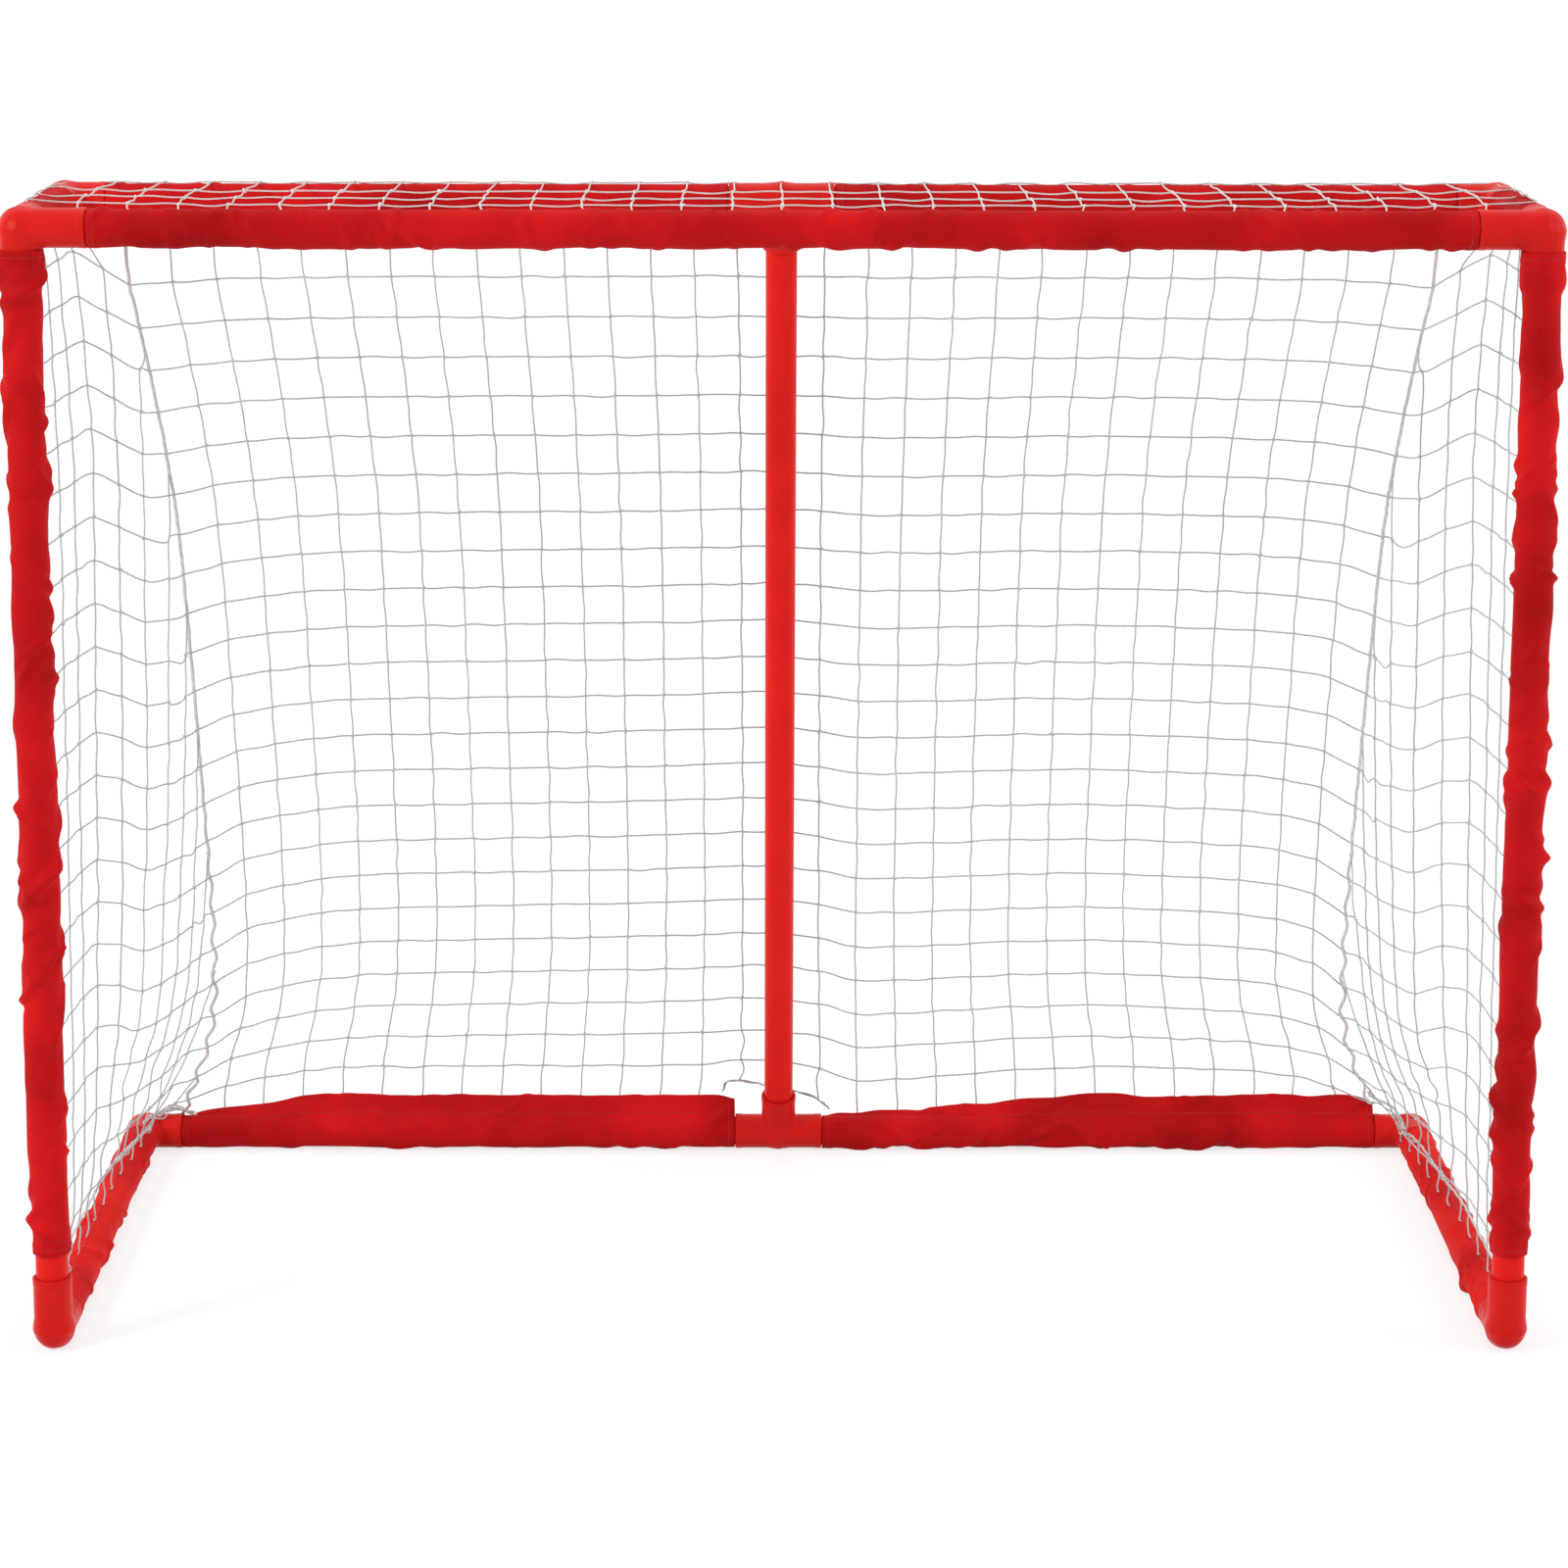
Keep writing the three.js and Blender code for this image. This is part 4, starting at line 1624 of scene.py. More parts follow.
def side_sleeves(number: int, side: Side) -> list[Sleeve]:
    """The five sleeves of one side.

    Args:
        number: The side's number, for the seeds.
        side: The side.

    Returns:
        The sleeves.
    """
    lay, gap, quarter = LAYOUT, LAYOUT.end_gap, side * TAU / 4
    front, top_rear, base_rear = lay.front_y, lay.top_rear_y, lay.base_rear_y
    x, top, base = side * lay.axis_x, lay.top_z, lay.base_z
    outer = side * (lay.axis_x - lay.rear_elbow - gap)
    runs = {
        "post": ((x, front, lay.post_sleeve_foot), (x, front, top - lay.collar_radius - gap)),
        "top_side": ((x, front + lay.corner_side + gap, top), (x, top_rear - lay.rear_elbow - gap, top)),
        "base_side": ((x, front + lay.foot_side + gap, base), (x, base_rear - lay.rear_elbow - gap, base)),
        "rear_top": ((side * (lay.top_tee_run + gap), top_rear, top), (outer, top_rear, top)),
        "rear_base": ((side * (lay.base_tee_run + gap), base_rear, base), (outer, base_rear, base)),
    }
    ways = {
        "post": (X_AXIS * side, quarter, 11 + number, POST_DRAPE),
        "top_side": (-Z_AXIS, 0.0, 21 + number, Drape()),
        "base_side": (-X_AXIS * side, quarter, 31 + number, BASE_SIDE_DRAPE),
        "rear_top": (-Z_AXIS, quarter, 41 + number, REAR_TOP_DRAPE),
        "rear_base": (-Y_AXIS, TAU / 2, 51 + number, REAR_BASE_DRAPE),
    }
    low_ends, low_reaches = FLAP_ENDS[side]
    made: list[Sleeve] = []
    for kind, (start, end) in runs.items():
        given = (f"{kind}_sleeve_{side.label}", lay.point(*start), lay.point(*end), *ways[kind])
        if kind == "rear_base":
            made.append(FlapSleeve(*given, low_ends=low_ends, low_reaches=low_reaches))
        else:
            made.append(Sleeve(*given))
    return made


def sleeves() -> list[Sleeve]:
    """All eleven sleeves.

    Returns:
        The sleeves.
    """
    lay = LAYOUT
    made = [sleeve for number, side in enumerate(Side) for sleeve in side_sleeves(number, side)]
    reach = lay.axis_x - lay.corner_crossbar - lay.end_gap
    left, right = (lay.point(side * reach, lay.front_y, lay.top_z) for side in Side)
    return made + [Sleeve("crossbar_sleeve", left, right, -Z_AXIS, TAU / 4, 61, CROSSBAR_DRAPE)]


# The net


@dataclass
class Chain:
    """One cord of a panel: its knots in order, the real lengths between them, and which are tied."""

    knots: Array
    rests: Array
    tied: Sequence[int]


@dataclass
class Weights:
    """The net as weights on springs, while it is being laid out."""

    points: list[Array] = field(default_factory=list)
    held: list[bool] = field(default_factory=list)
    springs: list[tuple[int, int, int, float, float]] = field(default_factory=list)

    def node(self, place: Array, held: bool) -> int:
        """Adds a knot.

        Args:
            place: Its place.
            held: Whether it stays where it is.

        Returns:
            Its number.
        """
        self.points.append(np.array(place, float))
        self.held.append(held)
        return len(self.points) - 1

    def link(self, a: int, b: int, rest: float, c: int | None = None, share: float = 0.0) -> None:
        """Adds a cord from a to the place between b and c at the given share."""
        self.springs.append((a, b, b if c is None else c, share, rest))


@dataclass
class GoalNet:
    """The knotted net: its rear, side and top panels, hung by relaxing their cords."""

    ridges: tuple[Callable[[float], Array | None], ...]
    columns: int = 30
    rows: int = 25
    side_rows: int = 24
    rear_width: float = 0.0396
    rear_width_end: float = 0.0424
    rear_width_rows: tuple[int, int] = (7, 21)
    rear_height: float = 0.0417
    rear_head: float = 0.002
    rear_foot: float = 0.0385
    rear_off: float = 0.0206
    rear_foot_off: float = 0.0165
    side_width: float = 0.0452
    side_height: float = 0.0415
    side_first: float = 0.031
    side_last: float = 0.020
    side_head: float = 0.0169
    side_low: float = 0.058
    side_start: float = 0.0165
    side_inset: float = 0.002
    side_beyond: float = 0.045
    side_foot: float = 0.0206
    head_corner: tuple[float, float, float] = (0.018, 0.005, 0.022)
    head_reach: float = 0.03
    cells_top: float = 5.4
    cells_step: float = 0.30
    cells_least: float = 0.25
    tie_length: float = 0.95
    tie_spare: float = 0.17
    tie_spare_rows: int = 4
    tie_latest: float = 0.8
    seam_top: float = 0.050
    seam_base: float = 0.042
    seam_height: float = 0.0424
    seam_even: int = 12
    seam_zigzag: float = 0.0030
    seam_zigzag_from: float = 0.55
    seam_zigzag_rows: int = 6
    seam_turns: tuple[tuple[float, int], ...] = ((0.27, 1), (0.73, -1), (1.0, 0))
    gravity: float = 1.2e-6
    rounds: int = 2500
    stretch: float = 0.22
    crowded: float = 0.9
    crowding: float = 0.1
    damping: float = 0.985
    strut_gap: float = 0.0172
    strut_half: float = 0.0175
    hem_lift: float = 0.0197
    hem_front: float = 0.0015
    hem_points: int = 24
    hem_shares: tuple[float, ...] = (0, 0.12, 0.22, 0.33, 0.45, 0.6, 1)
    hem_turns: tuple[tuple[float, ...], ...] = (
        (0.75, 0.55, 0.40, 0.15, 0.05, 0.0, -0.1),
        (1.3, 0.98, 0.78, 0.62, 0.47, 0.12, -0.07),
    )
    hem_heights: tuple[tuple[float, ...], ...] = (
        (0.004, 0.010, 0.016, 0.019, 0.024, 0.027, 0.030),
        (0.006, 0.018, 0.021, 0.021, 0.021, 0.021, 0.018),
    )
    whip_steps: tuple[float, float] = (0.003, 0.010)
    whip_slack: float = 1.01
    loop: tuple[tuple[float, float], ...] = (
        (-0.0600, 0.0600),
        (-0.0555, 0.0705),
        (-0.0415, 0.0722),
        (-0.0220, 0.0690),
        (0.0120, 0.0625),
        (0.0386, 0.0535),
        (0.0480, 0.0470),
        (0.0545, 0.0400),
    )
    loop_behind: float = 0.0078
    loop_tied: tuple[int, ...] = (2, 5, 6)
    top_rows: tuple[float, ...] = (0.0155, 0.0715, 0.1275, 0.1835, 0.240)
    top_spacing: float = 0.042
    top_slack: float = 1.0015
    top_inset: float = 0.006
    top_bulge: float = 0.0125
    top_front: float = 0.0125
    top_rear: float = 0.0182
    top_rise: float = 3.0
    top_sink: float = 0.004
    top_edge: float = 0.012
    top_over: float = 0.0189
    top_shake: tuple[float, float] = (0.001, 0.003)
    shake_hash: tuple[float, float, float] = (12.9898, 78.233, 43758.5453)
    points: Array = field(init=False)
    weights: Weights = field(default_factory=Weights)
    rear: Grid = field(default_factory=dict)
    side: dict[Side, Grid] = field(default_factory=dict)
    ties: dict[int, list[tuple[int, int, float, float]]] = field(default_factory=dict)

    def cells(self, row: int) -> float:
        """How many side cells lie between the post and the seam at a row."""
        return self.cells_top + self.cells_step * row

    def last_column(self, row: int) -> int:
        """The last side column that has a knot of its own at a row."""
        return int(self.cells(row) - self.cells_least)

    def fall(self, row: int) -> float:
        """The length of cord below a row of the side net."""
        return {0: self.side_first, self.side_rows - 1: self.side_last}.get(row, self.side_height)

    def edge(self, side: Side) -> int:
        """The rear column at one side's seam."""
        return 0 if side < 0 else self.columns

    def seam_row(self, row: float) -> float:
        """The place on the seam that a side row ends at.

        Args:
            row: The side row.

        Returns:
            The place, in rear rows.
        """
        even = self.seam_even
        if row < even:
            return row + 1
        return even + 1 + (row - even) * (self.rows - even - 1) / (self.side_rows - even)

    def hem_place(self, side: Side, y: float, above: float = 1.0) -> Array:
        """A point of the hem cord over the base side sleeve, or of the sleeve below it.

        Args:
            side: The side.
            y: The place along the goal's depth.
            above: How much of the cord's height over the sleeve to take.

        Returns:
            The point.
        """
        lay = LAYOUT
        rear = lay.base_rear_y - lay.rear_elbow
        share = (rear - y) / (rear - lay.front_y - lay.foot_side)
        turn = float(np.interp(share, self.hem_shares, self.hem_turns[side > 0]))
        height = float(np.interp(share, self.hem_shares, self.hem_heights[side > 0])) * above
        x = lay.axis_x - self.hem_lift * math.sin(turn)
        return lay.point(side * x, y, lay.base_z + self.hem_lift * math.cos(turn) + height)

    def lay_rear(self) -> None:
        """Lays out the rear panel between the two rear bars."""
        lay, net = LAYOUT, self.weights
        head, foot = lay.slope_length - self.rear_head, self.rear_foot
        for i in range(self.columns + 1):
            for j in range(self.rows + 1):
                v = j / self.rows
                half = lay.axis_x - (self.seam_top + (self.seam_base - self.seam_top) * v)
                off = self.rear_off if j < self.rows else self.rear_foot_off
                place = lay.base_centre + lay.slope_up * (head + (foot - head) * v) + lay.slope_out * off
                place = place + X_AXIS * (2 * i / self.columns - 1) * half
                if j == self.rows:
                    place = self.foot(float(place[0]), place)
                self.rear[i, j] = net.node(place, j in (0, self.rows))
        for i in range(self.columns + 1):
            height = self.seam_height if i in (0, self.columns) else self.rear_height
            for j in range(self.rows):
                net.link(self.rear[i, j], self.rear[i, j + 1], height)
        marks = (0, *self.rear_width_rows, self.rows)
        widths = (self.rear_width_end, self.rear_width, self.rear_width, self.rear_width_end)
        for j in range(1, self.rows):
            width = float(np.interp(j, marks, widths))
            for i in range(self.columns):
                net.link(self.rear[i, j], self.rear[i + 1, j], width)

    def foot(self, x: float, plain: Array) -> Array:
        """Where a rear column ends: in the top of a flap, or on the loop between the two flaps.

        Args:
            x: The column's place across the goal.
            plain: The place to use where there is neither.

        Returns:
            The end of the column.
        """
        for ridge in self.ridges:
            place = ridge(x)
            if place is not None:
                return place
        places, heights = zip(*self.loop)
        if places[0] < x < places[-1]:
            return LAYOUT.point(x, self.loop_depth(), float(np.interp(x, places, heights)))
        return plain

    def loop_depth(self) -> float:
        """How far back the loop behind the strut hangs."""
        return LAYOUT.base_rear_y + self.loop_behind

    def side_place(self, side: Side, k: int, m: int, z: float) -> Array:
        """Where a knot of a side panel starts from.

        Args:
            side: The side.
            k: Its column.
            m: Its row.
            z: The height of its row.

        Returns:
            The place.
        """
        lay = LAYOUT
        start = lay.front_y + self.side_start
        depth, height = lay.base_rear_y - lay.top_rear_y, lay.top_z - lay.base_z
        slope = lay.top_rear_y + depth * (lay.top_z - z) / height
        length = slope - start + self.side_beyond
        y = start + (self.top_spacing * k if m == 0 else length * k / self.cells(m))
        x = lay.axis_x - self.side_inset - max(0.0, y - slope)
        y = min(y, slope)
        if m == self.side_rows:
            if y > slope - self.side_inset / 2:
                return lay.point(side * x, y, lay.base_z + self.side_foot)
            return self.hem_place(side, y)
        if m == 0 and y > slope - self.head_reach:
            inwards, forwards, below = self.head_corner
            return lay.point(side * (lay.axis_x - inwards), slope - forwards, z - below)
        return lay.point(side * x, y, z)

    def lay_side(self, side: Side) -> None:
        """Lays out one side panel from the post to the seam.

        Args:
            side: The side.
        """
        net = self.weights
        heights = [self.fall(m) for m in range(self.side_rows)]
        falls = np.concatenate([[0], np.cumsum(heights)]) / sum(heights)
        top = LAYOUT.top_z - self.side_head
        knots: Grid = {}
        for m in range(self.side_rows + 1):
            z = top + (self.side_low - top) * falls[m]
            for k in range(self.last_column(m) + 1):
                held = k == 0 or m in (0, self.side_rows)
                knots[k, m] = net.node(self.side_place(side, k, m, z), held)
        for m in range(self.side_rows + 1):
            last = self.last_column(m)
            if 0 < m < self.side_rows:
                for k in range(last):
                    net.link(knots[k, m], knots[k + 1, m], self.side_width)
                spare = self.tie_spare * max(0.0, 1 - (m - 1) / self.tie_spare_rows)
                width = self.side_width * (self.cells(m) - last) * (self.tie_length + spare)
                self.tie(knots[last, m], side, self.seam_row(m), width)
            if m == self.side_rows:
                break
            for k in range(last + 1):
                net.link(knots[k, m], knots[k, m + 1], heights[m])
            new = self.last_column(m + 1)
            if new > last:
                begin = min((new - self.cells_top) / self.cells_step, m + self.tie_latest)
                height = heights[m] * (m + 1 - begin)
                self.tie(knots[new, m + 1], side, self.seam_row(begin), height)
        self.side[side] = knots

    def tie(self, knot: int, side: Side, row: float, rest: float) -> None:
        """Ties a knot to a place on a seam and remembers the cord.

        Args:
            knot: The knot.
            side: The seam's side.
            row: The place on the seam, in rear rows.
            rest: The length of the cord.
        """
        row = min(row, self.rows)
        low = int(min(row, self.rows - 1))
        above, below = (self.rear[self.edge(side), j] for j in (low, low + 1))
        self.weights.link(knot, above, rest, below, row - low)
        self.ties.setdefault(knot, []).append((above, below, row - low, rest))

    def tied_to(self, knot: int, which: int) -> tuple[Array, float]:
        """Where one of a knot's ties meets the seam, and how long it is."""
        above, below, share, rest = self.ties[knot][which]
        return self.points[above] * (1 - share) + self.points[below] * share, rest

    def hang(self) -> None:
        """Lays out the rear and side panels and lets them hang."""
        self.lay_rear()
        for side in Side:
            self.lay_side(side)
        net = self.weights
        a, b, c, share, rest = (np.array(column) for column in zip(*net.springs))
        share = share[:, None]
        p = np.array(net.points)
        free = ~np.array(net.held)
        speed = np.zeros_like(p)
        index = np.concatenate([a, b, c])
        pull = np.array([0, 0, -self.gravity])
        out, base = LAYOUT.slope_out, LAYOUT.base_centre
        for _ in range(self.rounds):
            span = p[b] * (1 - share) + p[c] * share - p[a]
            length = np.maximum(np.linalg.norm(span, axis=1), TINY)
            short = np.minimum(0, self.crowding * (length - rest * self.crowded))
            excess = np.where(length > rest, length - rest, short)
            force = (self.stretch * excess / length)[:, None] * span
            values = np.concatenate([force, -force * (1 - share), -force * share])
            total = np.stack([np.bincount(index, values[:, k], len(p)) for k in range(3)], 1)
            speed = (speed + total + pull) * self.damping
            speed[~free] = 0
            p = p + speed
            off = (p - base) @ out
            near = (np.abs(p[:, 0]) < self.strut_half) & (off < self.strut_gap) & free
            p[near] += np.outer(self.strut_gap - off[near], out)
            speed[near] -= np.outer(np.minimum(speed[near] @ out, 0), out)
        self.points = p
        LOG.info("net: %d knots, %d cords hung", len(p), len(a))

    def rear_cords(self) -> list[Chain]:
        """The cords of the rear panel, and the doubled loop behind the strut.

        Returns:
            The cords.
        """
        down, over = range(self.rows + 1), range(self.columns + 1)
        made = []
        for i in over[1:-1]:
            line = self.points[[self.rear[i, j] for j in down]]
            made.append(Chain(line, np.full(self.rows, self.rear_height), down[:-1]))
        for j in down[1:-1]:
            line = self.points[[self.rear[i, j] for i in over]]
            made.append(Chain(line, np.full(self.columns, self.rear_width), over))
        loop = np.array([(x, self.loop_depth(), z) for x, z in self.loop])
        return made + [Chain(loop, spans(loop), self.loop_tied)] * 2

    def side_cords(self, side: Side) -> list[Chain]:
        """The cords of one side panel.

        Args:
            side: The side.

        Returns:
            The cords.
        """
        p, knots = self.points, self.side[side]
        made = []
        for m in range(1, self.side_rows):
            last = self.last_column(m)
            end, rest = self.tied_to(knots[last, m], 0)
            line = [p[knots[k, m]] for k in range(last + 1)] + [end]
            rests = [self.side_width] * last + [rest]
            made.append(Chain(np.array(line), np.array(rests), range(last + 2)))
        for k in range(1, self.last_column(self.side_rows) + 1):
            rows = [m for m in range(self.side_rows + 1) if (k, m) in knots]
            line = [p[knots[k, m]] for m in rows]
            rests = [self.fall(m) for m in rows[:-1]]
            if rows[0] > 0:
                begin, rest = self.tied_to(knots[k, rows[0]], -1)
                line, rests = [begin] + line, [rest] + rests
            tied = range(len(line))
            line, rests = self.whip(line, rests, side)
            made.append(Chain(np.array(line), np.array(rests), tied))
        return made

    def whip(self, line: list[Array], rests: list[float], side: Side) -> tuple[list[Array], list[float]]:
        """Lets the end of a side column hang from the hem down to the base sleeve.

        Args:
            line: The column's knots.
            rests: The lengths between them.
            side: The side.

        Returns:
            The knots and lengths with those of the end.
        """
        end = line[-1]
        if end[1] > LAYOUT.base_rear_y - LAYOUT.rear_elbow:
            return line, rests
        for step in self.whip_steps:
            place = self.hem_place(side, end[1] - step, 0.0)
            rests = rests + [float(np.linalg.norm(place - line[-1])) * self.whip_slack]
            line = line + [place]
        return line, rests

    def top_place(self, i: float, depth: float) -> Array:
        """A point of the top panel.

        Args:
            i: Its column.
            depth: Its distance behind the posts.

        Returns:
            The point.
        """
        lay = LAYOUT
        by_column, by_depth, spread = self.shake_hash
        shake = (math.sin(i * by_column + depth * by_depth) * spread) % 1 - 0.5
        over = 2 * i / self.columns - 1
        share = (depth - self.top_rows[0]) / (self.top_rows[-1] - self.top_rows[0])
        bow = max(0.0, 4 * share * (1 - share))
        x = over * (lay.axis_x + self.top_bulge * bow**0.5 - self.top_inset)
        front, rear = lay.top_z + self.top_front, lay.top_z + self.top_rear
        z = front + (rear - front) * min(1.0, share * self.top_rise)
        z -= self.top_sink * bow * (1 - over**8)
        if abs(x) > lay.axis_x - self.top_edge and 0 < share < 1:
            beside = (abs(x) - lay.axis_x) ** 2
            z = max(z, lay.top_z + math.sqrt(max(0.0, self.top_over**2 - beside)))
        sideways, endways = self.top_shake
        y = lay.front_y + depth + endways * shake * bow
        return lay.point(x + sideways * shake, y, z)

    def top_cords(self) -> list[Chain]:
        """The cords of the top panel.

        Returns:
            The cords.
        """
        over = range(self.columns + 1)
        lines = [[self.top_place(i, depth) for depth in self.top_rows] for i in over]
        lines += [[self.top_place(i, depth) for i in over] for depth in self.top_rows]
        made = []
        for line in map(np.array, lines):
            made.append(Chain(line, spans(line) * self.top_slack, range(len(line))))
        return made

    def panels(self) -> dict[str, list[Chain]]:
        """The cords of every panel.

        Returns:
            The cords by the panel's CAD node.
        """
        sides = {f"side_net_{side.label}": self.side_cords(side) for side in Side}
        return {"rear_net": self.rear_cords()} | sides | {"top_net": self.top_cords()}

    def seam_route(self, side: Side) -> Array:
        """The seam cord's way down an edge of the rear panel, straight above and stepped below.

        Args:
            side: The side.

        Returns:
            The points of the way.
        """
        knots = self.points[[self.rear[self.edge(side), j] for j in range(self.rows + 1)]]
        route = [knots[0]]
        for j in range(self.rows):
            low = (j - self.seam_zigzag_from * self.rows) / self.seam_zigzag_rows
            size = self.seam_zigzag * min(max(low, 0), 1)
            for share, way in self.seam_turns:
                place = knots[j] + (knots[j + 1] - knots[j]) * share
                route.append(place + X_AXIS * way * size)
        return np.array(route)

    def hem_route(self, side: Side) -> Array:
        """The hem cord's way along the base side sleeve, from the rear to the front.

        Args:
            side: The side.

        Returns:
            The points of the way.
        """
        lay = LAYOUT
        rear = lay.base_rear_y - lay.rear_elbow - lay.end_gap
        front = lay.front_y + lay.fitting_radius + self.hem_front
        return np.array([self.hem_place(side, y) for y in np.linspace(rear, front, self.hem_points)])


# Cords


@dataclass(frozen=True)
class Slack:
    """How a cord runs between its knots: how finely it is drawn and how far it strays."""

    step: float = 0.0058
    wander: float = 0.0010
    least_wander: float = 0.3
    fewest: int = 3
    bend: float = 0.6
    bow: float = 0.42
    most: float = 0.0045
    aside: float = 0.6
    down: float = 0.5
    droop: float = 0.0003
    twist_wander: float = 0.35
    twist_bow: float = 0.18

    def run(self, rng: np.random.Generator, knots: Array, rests: Array) -> Array:
        """Fills a cord in between its knots, with the slack that each length of it has.

        Args:
            rng: The source of chance.
            knots: The knots in order.
            rests: The real length of cord between them.

        Returns:
            The points.
        """
        made = [knots[:1]]
        padded = np.concatenate([knots[:1] * 2 - knots[1:2], knots, knots[-1:] * 2 - knots[-2:-1]])
        for n, rest in enumerate(rests):
            p0, p1, p2, p3 = padded[n : n + 4]
            span = np.linalg.norm(p2 - p1)
            count = max(self.fewest, int(round(span / self.step)))
            t = (np.arange(1, count + 1) / count)[:, None]
            bend = ((p2 - p0) / 2 - (p2 - p1)) * (t * (1 - t) ** 2)
            bend = bend - ((p3 - p1) / 2 - (p2 - p1)) * (t * t * (1 - t))
            line = (p2 - p1) / max(span, TINY)
            aside = rng.normal(size=3)
            aside -= line * (aside @ line)
            aside /= np.linalg.norm(aside)
            fall = np.array([0, 0, -1.0]) + line * line[2]
            size = min(math.sqrt(max(0.0, rest**2 - span**2)) * self.bow, self.most)
            push = aside * (self.wander * rng.uniform(self.least_wander, 1) + self.aside * size)
            push = push + fall * (self.down * size + self.droop)
            twist = rng.normal(size=3) * (self.twist_wander * self.wander + self.twist_bow * size)
            sway = np.sin(np.pi * t) * push + np.sin(TAU * t) * twist
            made.append(p1 + (p2 - p1) * t + self.bend * bend + sway)
        return np.concatenate(made)


def strand_tree() -> NodeTree:
    """Thickens polylines into laid cords and ties a knot at each marked point.

    Returns:
        The geometry tree.
    """
    sizes = {"Geometry": "Geometry", "Cord Radius": 0.0011, "Knot Size": 0.0022}
    sizes |= {"Cord Sides": 6, "Seed": 5, "Finish": "Material"}
    kit = Kit("net_strands", "GeometryNodeTree", sizes, {"Geometry": "Geometry"})
    lines = kit.come["Geometry"]
    curve = kit.add("GeometryNodeMeshToCurve", {"Mesh": lines}).outputs["Curve"]
    spline = kit.add("GeometryNodeSplineParameter").outputs
    inputs = {"Resolution": kit.come["Cord Sides"], "Radius": kit.come["Cord Radius"]}
    profile = kit.add("GeometryNodeCurvePrimitiveCircle", inputs).outputs["Curve"]
    inputs = {
        "Curve": kit.store(curve, "cord_along", spline["Length"]),
        "Profile Curve": kit.store(profile, "cord_around", spline["Factor"]),
        "Fill Caps": True,
    }
    cords = kit.add("GeometryNodeCurveToMesh", inputs).outputs["Mesh"]
    inputs = {"Mesh": lines, "Selection": kit.read("knot", "BOOLEAN")}
    points = kit.add("GeometryNodeMeshToPoints", inputs).outputs["Points"]
    inputs = {"Segments": 6, "Rings": 4, "Radius": kit.come["Knot Size"]}
    bead = kit.add("GeometryNodeMeshUVSphere", inputs).outputs["Mesh"]
    turn = kit.chance((0, 0, 0), (TAU, TAU, TAU))
    knots = kit.scattered(points, bead, turn, kit.chance((0.75, 0.75, 1.15), (1.0, 1.05, 1.7)))
    spot = kit.add("GeometryNodeInputPosition").outputs[0]
    height = kit.add("ShaderNodeSeparateXYZ", {0: spot}).outputs["Z"]
    parts = [cords, kit.store(knots, "cord_along", height)]
    joined = kit.add("GeometryNodeJoinGeometry", {"Geometry": parts}).outputs["Geometry"]
    inputs = {"X": kit.read("cord_along"), "Y": kit.read("cord_around")}
    laid = kit.add("ShaderNodeCombineXYZ", inputs).outputs[0]
    inputs = {"Geometry": kit.store(joined, "laid", laid, "FLOAT_VECTOR")}
    return kit.dressed(kit.add("GeometryNodeSetShadeSmooth", inputs).outputs["Geometry"])


@dataclass
class StrandSet:
    """Cords as polylines, with the points of them that carry a knot."""

    name: str
    cords: list[Chain]
    seed: int
    slack: Slack = Slack()
    radius: float = 0.00078
    knot: float = 0.0017
    sides: int = 6
    ending: str = "strands"
    touch: float = 1e-6
    key_scale: int = 5000
    lines: list[Array] = field(default_factory=list)

    def carrier(self) -> Object:
        """The polylines as loose edges, with a mark on every knot.

        Returns:
            The object that the geometry nodes read.
        """
        rng = np.random.default_rng(self.seed)
        marks: list[bool] = []
        spots: set[tuple[int, int, int]] = set()
        for cord in self.cords:
            self.lines.append(self.slack.run(rng, cord.knots, cord.rests))
            tied = cord.knots[list(cord.tied)]
            for spot in self.lines[-1]:
                near = (np.linalg.norm(tied - spot, axis=1) < self.touch).any()
                key = tuple(np.round(spot * self.key_scale).astype(int))
                marks.append(bool(near and key not in spots))
                if near:
                    spots.add(key)
        return line_object(f"{self.name}_lines", self.lines, marks)

    def build(self, tree: NodeTree, finish: Finish) -> Object:
        """Makes the strands in place of their CAD node.

        Args:
            tree: The geometry tree that thickens them.
            finish: What they are made of.

        Returns:
            The piece.
        """
        values = {
            "Cord Radius": self.radius,
            "Knot Size": self.knot,
            "Cord Sides": self.sides,
            "Seed": self.seed,
            "Finish": finish.material(),
        }
        piece = apply_nodes(self.carrier(), tree, values, f"{self.name}_{self.ending}")
        return seat(piece, self.name)


@dataclass
class HeavyCord(StrandSet):
    """A thicker cord of the net's edges, along a smooth route without knots."""

    slack: Slack = Slack(step=0.004, wander=0.0006)
    sides: int = 12
    ending: str = "laid"

    def build(self, tree: NodeTree, finish: Finish) -> Object:
        """Makes the cord in place of its CAD node.

        Args:
            tree: The geometry tree that thickens it.
            finish: What it is made of.

        Returns:
            The cord.
        """
        piece = super().build(tree, finish)
        return piece


def heavy_cords(net: GoalNet) -> list[HeavyCord]:
    """The seam and hem cords.

    Args:
        net: The net, after it has hung.

    Returns:
        The cords.
    """
    made = []
    for number, side in enumerate(Side):
        for kind, route, seed, radius in (
            ("seam", net.seam_route(side), 71, 0.0017),
            ("hem", net.hem_route(side), 81, 0.0011),
        ):
            cords = [Chain(route, spans(route), ())]
            made.append(HeavyCord(f"{kind}_cord_{side.label}", cords, seed + number, radius=radius))
    return made


